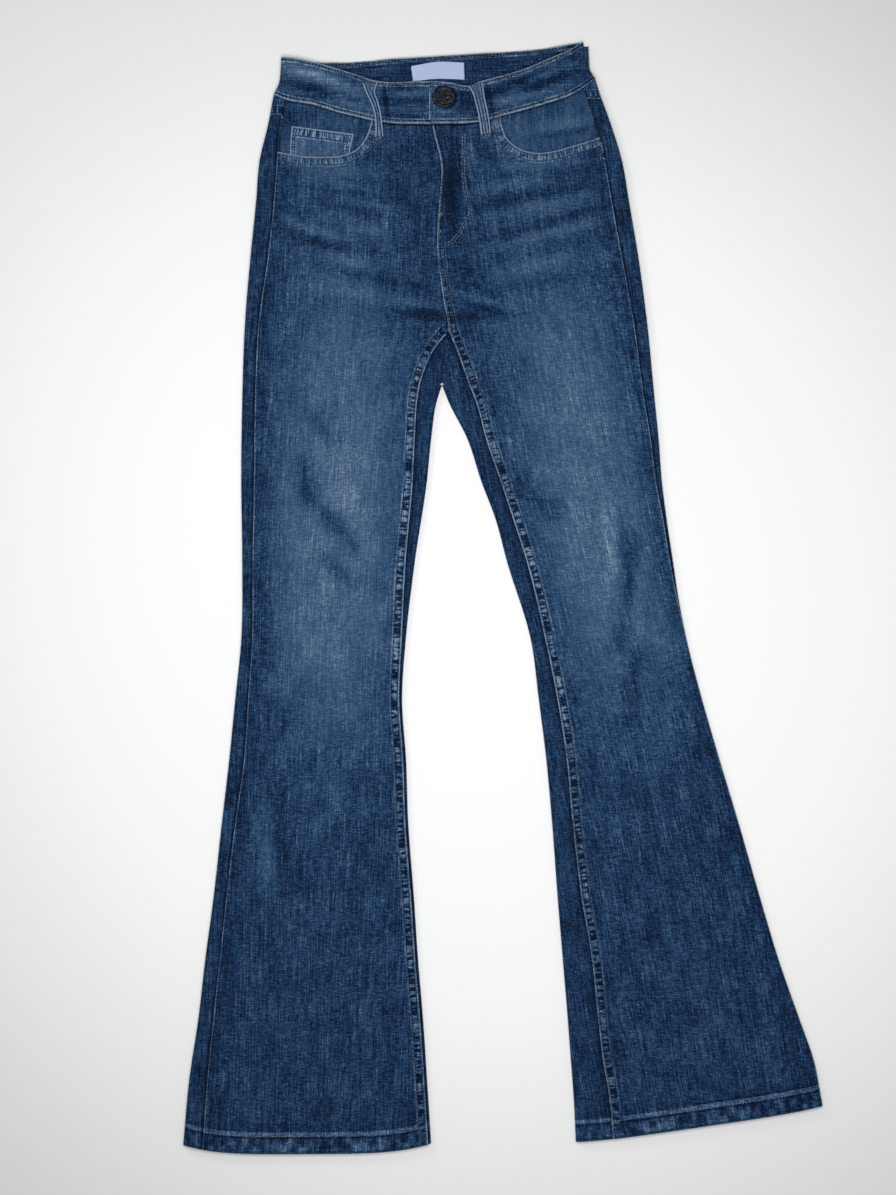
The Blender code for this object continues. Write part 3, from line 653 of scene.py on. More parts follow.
def leg_shares(spacing):
    """Rows of a leg, closer together at the hem and its step."""
    foot = HEM_DEPTH_SHARE + HEM_STEP_SHARE
    length = APEX_Y - SIDE_LEFT[0, 0]
    low = np.linspace(0, HEM_DEPTH_SHARE, HEM_ROWS)
    step = np.linspace(HEM_DEPTH_SHARE, foot, HEM_STEP_ROWS)[1:]
    high = np.linspace(foot, 1, int(length / spacing))[1:]
    return np.concatenate([low, step, high])[:, None]


def front_columns():
    """Shares of the way across a front, closer together beside both of its seams."""
    edge = np.cumsum([0] + [FRONT_EDGE_CELL] * FRONT_EDGE_CELLS)
    middle = np.linspace(edge[-1], FRONT_SPAN - edge[-1], FRONT_MIDDLE_STOPS)[1:]
    return np.concatenate([edge, middle, FRONT_SPAN - edge[::-1][1:]]) / FRONT_SPAN


def front_leg(side, share, columns):
    outer_arc, inner_arc = seam_arcs(side, share)
    outer, inner = leg_ends(side, share)
    whole = np.hypot(inner[0] - outer[0], inner[1] - outer[1]) - 2 * FOLD_RADIUS + 2 * QUARTER
    start = outer_arc + SEAM_GAP / 4
    end = whole - inner_arc - SEAM_GAP / 2
    arc = start + (end - start) * columns
    from_outer = arc < whole / 2
    return leg_place(side, share, np.where(from_outer, arc, whole - arc), from_outer)


def front_inner(side, y):
    """The inner edge of a front above the gap: the inseam over the crotch, then the centre front."""
    away = -SEAM_GAP / 2 if side == "left" else SEAM_GAP / 2
    crotch = read(FORK, SIDES[side]["inseam_column"], y) + away
    if side == "right":
        centre = read(CENTRE, 1, y) + SEAM_GAP / 2
    else:
        lap = LAP_WIDTH * smooth_step((y - LAP_START_Y) / LAP_RUN)
        centre = read(CENTRE, 1, y) - SEAM_GAP / 2 * (1 - np.minimum(lap, 1)) - 0.1 + lap
    return np.where(y < CROSS_Y, crotch, centre)


def lap_drop(side, x, y):
    """The left front goes down near the centre, to lie under the right."""
    if side == "right":
        return 0.0
    nearness = smooth_step((x - (read(CENTRE, 1, y) - DROP_FROM_CENTRE)) / DROP_WIDTH)
    return LAP_DROP * nearness * smooth_step((y - DROP_START_Y) / DROP_RUN)


def front_top(side, columns):
    """The top of a front, from the outseam: the pocket mouth, then the waist seam to the centre front."""
    mouth = MOUTH_LEFT if side == "left" else MOUTH_RIGHT
    fine_mouth = along(mouth, np.linspace(0, 1, 200))
    mouth_length = lengths(fine_mouth)[-1]
    corner = mouth[-1, 0]
    centre = front_inner(side, 474.0)
    whole = mouth_length + abs(centre - corner)
    last = int(np.argmin(np.abs(columns - mouth_length / whole)))
    on_mouth = along(mouth, columns[: last + 1] / columns[last])
    x = corner + (centre - corner) * (columns[last + 1 :] - columns[last]) / (1 - columns[last])
    on_mouth[-1] = (corner, read(FRONT_WAIST, 1, corner) - SEAM_GAP / 2)
    return np.concatenate([on_mouth, np.column_stack([x, read(FRONT_WAIST, 1, x) - SEAM_GAP / 2])]), last


def front_hips(side, leg_row, columns, levels):
    top, last = front_top(side, columns)
    data = SIDES[side]
    low = (leg_row[:, 0] - leg_row[0, 0]) / (leg_row[-1, 0] - leg_row[0, 0])
    level = levels[:, None]
    y = APEX_Y + (top[:, 1] - APEX_Y) * level
    outer = read(data["side"], 2, y) + data["inward"] * SEAM_GAP / 4
    inner = front_inner(side, y)
    top_outer = read(data["side"], 2, top[:, 1]) + data["inward"] * SEAM_GAP / 4
    top_inner = front_inner(side, top[:, 1])
    top_share = (top[:, 0] - top_outer) / (top_inner - top_outer)
    share = low + (top_share - low) * level**HIP_BEND
    share[:, 0] = 0
    x = outer + (inner - outer) * share
    top_offset = top[:, 0] - top_inner
    low_offset = leg_row[:, 0] - leg_row[-1, 0]
    beside = inner + low_offset + (top_offset - low_offset) * smooth_step((y - BESIDE_START_Y) / BESIDE_RUN)
    nearness = 1 - smooth_step((np.abs(top_offset) - BESIDE_REACH) / BESIDE_FADE)
    x = x + (beside - x) * nearness
    rise = np.ones(x.shape)
    return np.stack([x, y, rise, -lap_drop(side, x, y) * rise], axis=-1), last


# Cells across a back: the outer strip and fold, the under layer, and the inner fold and strip
BACK_CELLS = {"strip": 9, "fold": 6, "under": 42, "inner_fold": 6, "inner_strip": 14}
BACK_FORK_START = sum(BACK_CELLS[name] for name in ("strip", "fold", "under", "inner_fold"))
BACK_HIP_COLUMNS = sum(BACK_CELLS[name] for name in ("strip", "fold", "under")) + 1


def back_leg(side, share):
    outer_arc, inner_arc = seam_arcs(side, share)
    outer_arc = outer_arc - SEAM_GAP / 4
    inner_arc = inner_arc + TUCK_UNDER
    outer_turn = np.minimum(QUARTER, outer_arc - 0.3 * (outer_arc + QUARTER))
    inner_turn = np.minimum(QUARTER, inner_arc - 0.3 * (inner_arc + QUARTER))
    outer, inner = leg_ends(side, share)
    width = np.hypot(inner[0] - outer[0], inner[1] - outer[1])
    quarter = np.full(width.shape, QUARTER)
    far = -(width - 2 * FOLD_RADIUS + QUARTER)
    cells = list(BACK_CELLS.values())
    outer_part = stops([outer_arc, outer_turn, -quarter, far], cells[:3])
    inner_part = stops([-quarter, inner_turn, inner_arc], cells[3:])[:, 1:]
    places = [leg_place(side, share, outer_part, True), leg_place(side, share, inner_part, False)]
    return np.concatenate(places, axis=1)


def back_hip_places(side, y):
    """Points of the back of the hips: the outer strip, the fold and the under layer as far as the centre."""
    data = SIDES[side]
    strip, fold, under = (BACK_CELLS[name] for name in ("strip", "fold", "under"))
    outer = read(data["side"], 1, y)
    inset = np.abs(read(data["side"], 2, y) - outer)
    outer_arc = arc_of(inset) - SEAM_GAP / 4
    step = np.arange(y.shape[1])
    on_strip = outer_arc + (QUARTER - outer_arc) * np.minimum(step / strip, 1)
    on_fold = QUARTER * (1 - 2 * np.clip((step - strip) / fold, 0, 1))
    arc = np.where(step < strip, on_strip, on_fold)
    part = np.clip((step - strip - fold) / under, 0, 1)
    inward, rise = fold_place(arc)
    centre = read(CENTRE, 1, y) - data["inward"] * SEAM_GAP / 4
    start = outer + data["inward"] * FOLD_RADIUS
    x = np.where(part > 0, start + (centre - start) * part, outer + data["inward"] * inward)
    return np.stack([x, y, rise, np.zeros(x.shape)], axis=-1)


def yoke_seam_y(side):
    """Height along the garment of the yoke seam at each column of the hips."""
    step = np.arange(BACK_HIP_COLUMNS)
    part = np.clip((step - BACK_CELLS["strip"] - BACK_CELLS["fold"]) / BACK_CELLS["under"], 0, 1)
    at_side = YOKE_SIDE_LEFT if side == "left" else YOKE_SIDE_RIGHT
    return (at_side + (YOKE_MIDDLE - at_side) * part)[None, :]


def back_hips(side, levels):
    top = yoke_seam_y(side) - SEAM_GAP / 2
    return back_hip_places(side, APEX_Y + (top - APEX_Y) * levels[:, None])


def fork(side, levels):
    """The stretch of a back that comes over the crotch, from the crease at the centre to the inseam."""
    y = APEX_Y + (CROSS_Y - APEX_Y) * levels[:, None]
    inward = SIDES[side]["inward"]
    crease = read(FORK, 2, y) - inward * SEAM_GAP / 2
    inseam = read(FORK, SIDES[side]["inseam_column"], y) - inward * TUCK_UNDER
    part = np.linspace(0, 1, BACK_CELLS["inner_strip"] + 1)
    x = crease + (inseam - crease) * part
    dip = (1 - levels[:, None]) * (1 - part)
    return np.stack([x, np.broadcast_to(y, x.shape), np.ones(x.shape), -dip], axis=-1)


def waist_edge(column, x, rise):
    """A column of the waist tables: its front at a rise of 1, its back at -1."""
    front_share = (rise + 1) / 2
    return read(FRONT_WAIST, column, x) * front_share + read(BACK_WAIST, column, x) * (1 - front_share)


def yoke(side, levels):
    low = yoke_seam_y(side) + SEAM_GAP / 2
    high = np.full(low.shape, 500.0)
    for _ in range(4):
        place = back_hip_places(side, high)
        high = waist_edge(1, place[..., 0], place[..., 2]) - SEAM_GAP / 2
    return back_hip_places(side, low + (high - low) * levels[:, None])


def lap_lift(x):
    """The right end of the band rises over the left end, which goes down."""
    return BAND_LIFT * (1 - smooth_step((x - BAND_LIFT_X) / BAND_LIFT_RUN))


def lap_sink(x):
    return BAND_SINK * smooth_step((x - BAND_SINK_X) / BAND_SINK_RUN)


# Meshes, seams and the numbers that the materials read


def beside(points, line):
    """How far each point lies from a line, and the way along the line to its nearest place."""
    best = np.full(len(points), 1e9)
    place = np.zeros(len(points))
    way = lengths(line)
    for start, end, before in zip(line, line[1:], way):
        run = end - start
        length = math.hypot(*run)
        if length < 1e-6:
            continue
        offset = points - start
        share = np.clip(offset @ run / length**2, 0, 1)
        apart = np.hypot(*(offset - share[:, None] * run).T)
        nearer = apart < best
        best[nearer] = apart[nearer]
        place[nearer] = before + share[nearer] * length
    return best, place


def ripple(run, period, seed):
    """A smooth random wave between -1 and 1 along a seam."""
    knots = np.random.default_rng(seed).uniform(-1, 1, KNOTS)
    place = np.asarray(run) / period
    index = np.floor(place).astype(int)
    share = smooth_step(place - index)
    return knots[index % KNOTS] * (1 - share) + knots[(index + 1) % KNOTS] * share


def thin(line, count=90):
    """A border with at most that many points."""
    keep = np.unique(np.linspace(0, len(line) - 1, min(count, len(line))).round().astype(int))
    return line[keep]


def patches(table, x, y):
    """Sum of soft oval patches: x, y, half length, half width, turn in degrees, amount."""
    total = np.zeros(np.broadcast(x, y).shape)
    for middle_x, middle_y, half_length, half_width, turn, amount in table:
        angle = math.radians(turn)
        ahead = (x - middle_x) * math.cos(angle) + (y - middle_y) * math.sin(angle)
        aside = (y - middle_y) * math.cos(angle) - (x - middle_x) * math.sin(angle)
        total = total + amount * np.exp(-(((ahead / half_length) ** 2 + (aside / half_width) ** 2) ** 1.4))
    return total


# Fading of the fronts: the long fades of thighs and knees, the whiskers of the hips, and the dark sides, with
# dark lines painted as shade along the creases of the thighs and knees. The patches were placed one by one,
# and the amounts of the whiskers were then all scaled up by a program
FADES_AND_SHADE = as_table(
    # x, y, half length, half width, turn in degrees, amount
    (-162, 95, 240, 76, 90, 0.22),
    (-172, 30, 180, 56, 88, 0.14),
    (-165, 200, 90, 50, 90, 0.06),
    (-190, -250, 90, 26, 80, 0.05),
    (-238, -235, 52, 14, 92, 0.24),
    (80, 125, 240, 70, 101, 0.22),
    (-55, 262, 34, 24, 0, -0.08),
    (100, 40, 180, 54, 101, 0.13),
    (70, 220, 80, 46, 100, 0.06),
    (-150, 330, 80, 60, 90, 0.04),
    (30, 340, 80, 60, 95, 0.04),
    (-242, 60, 200, 7, 90, -0.05),
    # Dark lines painted as shade along the creases of the left thigh
    (-197, 124, 22, 4, 92, -0.13),
    (-189, 101, 16, 4, 118, -0.13),
    (-177, 85, 15, 4, 140, -0.13),
    (-158, 63, 22, 4, 127, -0.14),
    (-172, 34, 16, 5, 135, -0.12),
    (-158, 22, 14, 6, 140, -0.10),
    (-181, 168, 18, 5, 132, -0.10),
    (-170, 428, 46, 8, -4, 0.17),
    (-167, 413, 34, 5, -14, 0.17),
    (-148, 404, 40, 5, -12, -0.14),
    (-138, 396, 34, 4, -10, 0.14),
    (-148, 387, 36, 5, -11, -0.20),
    (-211, 377, 20, 4, -26, 0.23),
    (-175, 364, 26, 4, -15, 0.23),
    (-190, 357, 40, 5, -20, -0.20),
    (-137, 367, 34, 5, -5, 0.17),
    (-150, 350, 44, 5, -10, -0.14),
    (-165, 338, 44, 6, -14, 0.14),
    (-140, 322, 50, 5, -9, -0.14),
    (-150, 305, 50, 7, -10, 0.12),
    (37, 434, 56, 6, 4, 0.20),
    (3, 413, 38, 5, 11, 0.20),
    (60, 424, 40, 5, 12, -0.09),
    (23, 401, 52, 5, 11, -0.23),
    (30, 391, 54, 5, 12, 0.17),
    (45, 376, 68, 5, 15, -0.23),
    (51, 366, 62, 5, 14, 0.20),
    (50, 350, 62, 6, 15, -0.14),
    (48, 335, 60, 7, 14, 0.14),
    (45, 316, 60, 6, 12, -0.12),
    (-92, 420, 46, 20, 90, -0.10),
    (-90, 330, 60, 22, 90, -0.06),
    (-50, 415, 52, 8, 88, -0.38),
    (-40, 330, 40, 16, 90, -0.08),
    (-28, 300, 26, 4, -15, 0.20),
    (-26, 292, 28, 4, -14, -0.23),
    (-20, 282, 34, 5, 2, -0.14),
    (-85, 284, 28, 5, -6, -0.20),
    (-85, 295, 26, 5, -4, 0.12),
    (-166, 92, 30, 8, 128, 0.08),
    (-206, -70, 40, 8, 60, 0.08),
    (-120, -20, 40, 8, 60, 0.08),
    # Dark lines painted as shade along the creases of the right thigh and knee, with paler strips beside them
    (122, 40, 50, 6, 98, -0.14),
    (112, 20, 60, 7, 98, 0.10),
    (134, -90, 50, 6, 95, -0.10),
    (160, -50, 40, 7, 130, 0.10),
)


def grid_faces(rows, columns, start=0):
    """The faces between the points of one grid, which are numbered along its rows."""
    index = np.arange(rows * columns).reshape(rows, columns) + start
    corners = (index[:-1, :-1], index[:-1, 1:], index[1:, 1:], index[1:, :-1])
    return np.stack([corner.ravel() for corner in corners], axis=1)


def join_grids(grids):
    """Points and faces of several grids, with the points that they share made one."""
    points = []
    faces = []
    count = 0
    for grid in grids:
        rows, columns = grid.shape[:2]
        faces.append(grid_faces(rows, columns, count))
        points.append(grid.reshape(-1, grid.shape[2]))
        count += rows * columns
    points = np.concatenate(points)
    faces = np.concatenate(faces)
    _, first, same = np.unique(np.round(points[:, :3], 3), axis=0, return_index=True, return_inverse=True)
    return points[first], same.reshape(-1)[faces]


def cloth_grain(x, y, side, seed):
    """Cloth coordinates: across the warp, along it, and a number that sets the piece's pattern apart."""
    line = GRAIN[side]
    return np.stack([x - read(line, 1, y), y, np.full(x.shape, seed * 37.0)], axis=-1)


def strip_marks(points, strips):
    """Run along, distance from and width of the nearest strip, its strength, and its lift of the cloth."""
    marks = np.tile(UNMARKED, (len(points), 1))
    strength = np.zeros(len(points))
    best = np.full(len(points), STRIP_REACH)
    lift = np.zeros(len(points))
    for number, (line, width, amount, height, period) in enumerate(strips):
        apart, run = beside(points, thin(line))
        nearer = apart / width < best
        best[nearer] = (apart / width)[nearer]
        run = run / period + STRIP_STEP * number
        marks[nearer] = np.column_stack([run, apart, np.full(len(points), width)])[nearer]
        strength[nearer] = amount
        rim = HEM_RIM if width == HEM_STRIP else 0.0
        inside = 1 - smooth_step((apart - width - rim + 1) / 2.5)
        waves = ripple(run, 1.0, number + 7) * np.sin(math.pi * np.clip(apart / width, 0, 1))
        lift = np.maximum(lift, inside * (height + PUCKER * amount * waves))
    return marks, strength, lift


def nearest(points, lines):
    """How far each point lies from the nearest of the lines."""
    best = np.full(len(points), FAR)
    for line in lines:
        best = np.minimum(best, beside(points, thin(line))[0])
    return best


def cut_size(grids):
    """Width and length of the cut, over the cloth along the rows and columns of grids laid end to end."""

    def longest(grid, axis):
        steps = np.linalg.norm(np.diff(grid[..., :3], axis=axis), axis=-1)
        return steps.sum(axis=axis).max() * MM

    return max(longest(grid, 1) for grid in grids), sum(longest(grid, 0) for grid in grids)


def cloth_piece(name, node, cut, points, faces, marks, thickness, upward=True, material="denim"):
    """A shell of cloth whose outer face is the given mesh, in millimetres, standing for a CAD node."""
    mesh = bpy.data.meshes.new(name)
    mesh.from_pydata((points[:, :3] * MM).tolist(), [], faces.tolist())
    facing = sum(face.normal.z * face.area for face in mesh.polygons)
    if (facing > 0) != upward:
        mesh.flip_normals()
    mesh.shade_smooth()
    for label, values in marks.items():
        kind, field = ("FLOAT_VECTOR", "vector") if values.ndim > 1 else ("FLOAT", "value")
        attribute = mesh.attributes.new(label, kind, "POINT")
        attribute.data.foreach_set(field, np.ascontiguousarray(values, np.float32).ravel())
    mesh.materials.append(finish_of(material))
    piece = bpy.data.objects.new(name, mesh)
    bpy.context.scene.collection.objects.link(piece)
    wall = piece.modifiers.new("cloth wall", "SOLIDIFY")
    wall.thickness = thickness * MM
    wall.offset = -1
    ride_as(piece, node)
    return piece


LIE_ON_FLOOR = (
    "back_panel_left", "back_panel_right", "back_yoke_left", "back_yoke_right", "back_pocket_left",
    "back_pocket_right", "belt_loop_back", "belt_loop_side_left", "belt_loop_side_right", "waistband_back",
)
RESTS_ON = dict.fromkeys(LIE_ON_FLOOR, "floor") | {
    "front_panel_left": "back_panel_left",
    "front_panel_right": "back_panel_right",
    "pocket_bag_left": "back_panel_left",
    "pocket_bag_right": "back_panel_right",
    "fly_shield": "back_panel_left",
    "waistband_left": "waistband_back",
    "waistband_right": "waistband_left",
    "waist_label": "waistband_back",
    "coin_pocket": "pocket_facing_left",
    "pocket_facing_left": "pocket_bag_left",
    "pocket_facing_right": "pocket_bag_right",
    "belt_loop_front_left": "waistband_left",
    "belt_loop_front_right": "waistband_right",
    "zip": "fly_shield",
}


def ride_as(piece, node):
    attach(piece, "root")
    if node:
        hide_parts(node)
    return piece


def flat_cloth(places):
    """Points of a grid of x, y, rise and extra height, with their real height."""
    x, y, rise, extra = (places[..., column] for column in range(4))
    z = layer_height(x, y, rise, extra)
    return np.stack([x, y, z, rise], axis=-1)


def build_front(side):
    spacing = bpy.context.scene.jeans_cloth.spacing / MM
    columns = front_columns()
    shares = leg_shares(spacing)
    leg = front_leg(side, shares, columns)
    levels = np.linspace(0, 1, int(HIP_LENGTH / spacing))[1:]
    hips, corner = front_hips(side, leg[-1], columns, levels)
    grid = flat_cloth(np.concatenate([leg, hips]))
    flat = grid[..., :2]
    mouth = flat[-1, : corner + 1]
    waist = flat[-1, corner:]
    hem = flat[0]
    outseam = flat[:, 0]
    inner = flat[:, -1]
    crossing = int(np.argmin(np.abs(inner[:, 1] - CROSS_Y) + (np.arange(len(inner)) < len(leg)) * 999))
    inseam = inner[: crossing + 1]
    centre = inner[crossing:]
    points, faces = join_grids([grid])
    place = points[:, :2]
    seams = {"inseam": inseam, "mouth": mouth, "hem": hem}
    bright = [inseam, mouth]
    if side == "right":
        bright.append(centre)
        on_fly = centre[:, 1] >= FLY_STITCH[0][1] + FLY_MARGIN
        seams.update({"crotch": centre[~on_fly], "fly": centre[on_fly]})
    marks, strength, lift = strip_marks(place, [(line, *STITCHED[seam]) for seam, line in seams.items()])
    if side == "right":
        lift += fly_lift(points[:, 0], points[:, 1])
    x, y, rise = points[:, 0], points[:, 1], points[:, 3]
    points[:, 2] += lift * np.clip(rise, 0, 1)
    wear_and_shade = front_wear_and_shade(side, x, y, outseam, inner) + hem_wear_and_shadow(beside(place, thin(hem))[0])
    wear_and_shade += MOUTH_WEAR * (1 - smooth_step((beside(place, thin(mouth))[0] - 7) / 2))
    to_edge = np.minimum(nearest(place, bright), nearest(place, [outseam]) + OUTSEAM_DULLNESS)
    # Its second number is how far the waist seam is, below which painted shade darkens the front
    edges = np.stack([to_edge, nearest(place, [waist]), strength], axis=-1)
    grain = cloth_grain(x, y, side, SEEDS[f"front_{side}"])
    numbers = {"cloth": grain, "strip": marks, "edges": edges, "wear_and_shade": wear_and_shade}
    name, node = f"front_{side}_cloth", f"front_panel_{side}"
    cloth_piece(name, node, cut_size([grid]), points, faces, numbers, DENIM)
    SEAMS[side] = {"mouth": mouth, "hem": hem, "inseam": inseam, "centre": centre}


# Fly: the line of the curved stitching, from its foot at the seam up to the band
FLY_STITCH = (
    (-62, 352.5), (-53, 353.6), (-44, 362), (-37, 375), (-31, 386.4), (-34, 398), (-36.6, 410), (-38, 467)
)
FLY_MARGIN = 4
SEAMS = {}


def fly_lift(x, y):
    """The right front stands a little higher over the fly's facing, inside the curved stitching."""
    line = np.array(FLY_STITCH, float)
    table = np.column_stack([line[:, 1], line[:, 0]])
    inside = smooth_step((read(table, 1, y) - x) / 2) * smooth_step((y - line[0, 1]) / 3)
    return 0.4 * inside


# Wear of a front and painted shade: how pale it is to begin with, what folds, creases, mouths, shins and
# sides add or take, and how much less the outseam's edge shows than the others. The darkening along the folds
# and in the troughs of the creases is painted shade, and the ridges of the creases are paler from wear
FRONT_WEAR = 0.33
FOLD_SHADE = -0.10
CREASE_WEAR_AND_SHADE = 0.08
MOUTH_WEAR = 0.18
SHIN_WEAR = -0.04
SHIN_START_Y = -90
SHIN_RUN = 90
OUTER_WEAR = 0.10
INNER_WEAR = 0.06
SIDE_REACH = 16
OUTSEAM_DULLNESS = 0.35


def hem_wear_and_shadow(way):
    """The turned-up hem is rubbed pale, most of all along its fold; just above its top edge a painted shadow
    darkens the cloth.
    """
    return 0.14 * np.exp(-((way / 6) ** 2)) - 0.08 * np.exp(-(((way - 26) / 4) ** 2))


def crease_wear_and_shade(x, y):
    """Folds and crease troughs are painted darker as shade; the ridges of fine creases are paler from wear.
    """
    folds = np.clip(ridge_height(CREASES, x, y), 0, 1.6)
    return FOLD_SHADE * folds + CREASE_WEAR_AND_SHADE * np.clip(ridge_height(FINE_CREASES, x, y), -1.2, 1.2)


def front_wear_and_shade(side, x, y, outseam, inner):
    """How faded each place of a front is, from 0, dark, to 1, pale, with painted shade along its folds and
    creases.
    """
    outer_x = np.interp(y, outseam[:, 1], outseam[:, 0])
    inner_x = np.interp(y, inner[:, 1], inner[:, 0])
    from_outer = np.abs(x - outer_x)
    from_inner = np.abs(x - inner_x)
    wear_and_shade = FRONT_WEAR + patches(FADES_AND_SHADE, x, y) + SHIN_WEAR * smooth_step((SHIN_START_Y - y) / SHIN_RUN)
    wear_and_shade -= OUTER_WEAR * np.exp(-((from_outer / SIDE_REACH) ** 2))
    wear_and_shade -= INNER_WEAR * np.exp(-((from_inner / SIDE_REACH) ** 2))
    return wear_and_shade + crease_wear_and_shade(x, y)


def build_back(side):
    spacing = bpy.context.scene.jeans_cloth.spacing / MM
    shares = leg_shares(spacing)
    leg = back_leg(side, shares)
    hips = back_hips(side, np.linspace(0, 1, int(HIP_LENGTH / spacing)))
    hips[0] = leg[-1, :BACK_HIP_COLUMNS]
    over = fork(side, np.linspace(0, 1, 20))
    over[0] = leg[-1, BACK_FORK_START:]
    grids = [flat_cloth(part) for part in (leg, hips, over)]
    strip_inseam = np.concatenate([grids[0][:, -1, :2], grids[2][:, -1, :2]])
    outseam = np.concatenate([grids[0][:, 0, :2], grids[1][:, 0, :2]])
    points, faces = join_grids(grids)
    x, y, rise = points[:, 0], points[:, 1], points[:, 3]
    place = points[:, :2]
    from_inseam, _ = beside(place, thin(strip_inseam))
    from_outseam, out_run = beside(place, thin(outseam))
    upper = np.clip(rise, 0, 1)
    points[:, 2] -= TUCK_DROP * (1 - smooth_step(from_inseam / 3.6)) * upper
    hem = grids[0][0, :, :2]
    marks, strength, _ = strip_marks(place, [(hem, *STITCHED["hem"])])
    blotched = (strength == 0) & (rise > 0)
    blotch_run = out_run / BLOTCH_PERIOD + BLOTCH_START
    blotches = np.column_stack([blotch_run, from_outseam + BLOTCH_INSET, np.full(len(x), BLOTCH_WIDTH)])
    marks[blotched] = blotches[blotched]
    strength[blotched] = BLOTCH_AMOUNT
    # Painted shade beside the inseam and the outseam on the strips that come round to the top
    to_seam = np.where(rise > 0, np.minimum(from_inseam, from_outseam), FAR)
    edges = np.stack([np.full(len(x), FAR), to_seam, strength], axis=-1)
    wear_and_shade = back_wear_and_shade(side, x, y, rise, from_inseam) + hem_wear_and_shadow(beside(place, thin(hem))[0])
    grain = cloth_grain(x, y, side, SEEDS[f"back_{side}"])
    numbers = {"cloth": grain, "strip": marks, "edges": edges, "wear_and_shade": wear_and_shade}
    name, node = f"back_{side}_cloth", f"back_panel_{side}"
    cloth_piece(name, node, cut_size(grids[:2]), points, faces, numbers, DENIM, False)


YOKE_WEAR = 0.36


def build_yoke(side):
    top = flat_cloth(yoke(side, np.linspace(0, 1, 20)))
    seam = top[0, :, :2]
    points, faces = join_grids([top])
    x, y, rise = points[:, 0], points[:, 1], points[:, 3]
    place = points[:, :2]
    marks, strength, _ = strip_marks(place, [(seam, *STITCHED["yoke"])])
    to_seam = nearest(place, [seam]) + 0.9 * smooth_step(rise + 1)
    edges = np.stack([to_seam, np.full(len(x), FAR), strength], axis=-1)
    wear_and_shade = np.full(len(x), YOKE_WEAR)
    numbers = {"cloth": cloth_grain(x, y, side, SEEDS["yoke"]), "strip": marks, "edges": edges, "wear_and_shade": wear_and_shade}
    name, node = f"yoke_{side}_cloth", f"back_yoke_{side}"
    cloth_piece(name, node, cut_size([top]), points, faces, numbers, DENIM, False)


def back_wear_and_shade(side, x, y, rise, from_inseam):
    """Painted shade darkens the strips that come round to the top, most of all along the inseam; the seat and
    the backs of the thighs are faded.
    """
    wear_and_shade = 0.36 + patches(BACK_FADES, x, y)
    on_top = smooth_step(rise + 0.5)
    strip = 0.24 if side == "left" else 0.25
    wear_and_shade = wear_and_shade * (1 - on_top) + strip * on_top
    return wear_and_shade - 0.2 * np.exp(-((from_inseam / 5) ** 2)) * on_top


BACK_FADES = as_table(
    # x, y, half length, half width, turn in degrees, amount
    (-150, 330, 90, 70, 90, 0.30),
    (40, 330, 90, 70, 92, 0.30),
    (-165, 60, 260, 50, 90, 0.26),
    (90, 60, 260, 50, 101, 0.26),
)


def band_marks(x, y, low, high, seed, wear_and_shade):
    """Numbers of a stretch of waistband: its grain runs along it, and both of its edges are rolled."""
    share = (y - low) / (high - low)
    near = np.minimum(share, 1 - share) * (high - low)
    marks = np.stack([x / 3.2 + seed * 70, near, np.full(x.shape, BAND_STRIP)], axis=-1)
    edges = np.stack([near, np.full(x.shape, FAR), np.full(x.shape, 1.3)], axis=-1)
    grain = np.stack([y, x, np.full(x.shape, seed * 41.0)], axis=-1)
    return {"cloth": grain, "strip": marks, "edges": edges, "wear_and_shade": wear_and_shade}


# Creases of the band, along it and slanting across it
BAND_CREASES = as_table(
    # x from, y from, x to, y to, height, half width
    (-222, 522, -184, 518, -0.8, 3),
    (-203, 504, -166, 494, -0.7, 3),
    (-210, 512, -170, 506, 0.5, 5),
    (-160, 515, -132, 500, 0.5, 4),
    (-165, 505, -130, 492, -0.5, 3),
    (-118, 507, -78, 506, -0.6, 3),
    (-118, 499, -80, 499, 0.6, 4),
    (-116, 490, -80, 490, -0.5, 3),
    (-120, 483, -82, 483, 0.4, 3),
    (-2, 505, 66, 528, -0.9, 3),
    (-4, 495, 28, 503, 0.8, 4),
    (30, 514, 62, 530, 0.5, 4),
    (20, 499, 66, 515, 0.4, 5),
    (-46, 508, -36, 480, -0.4, 3),
)


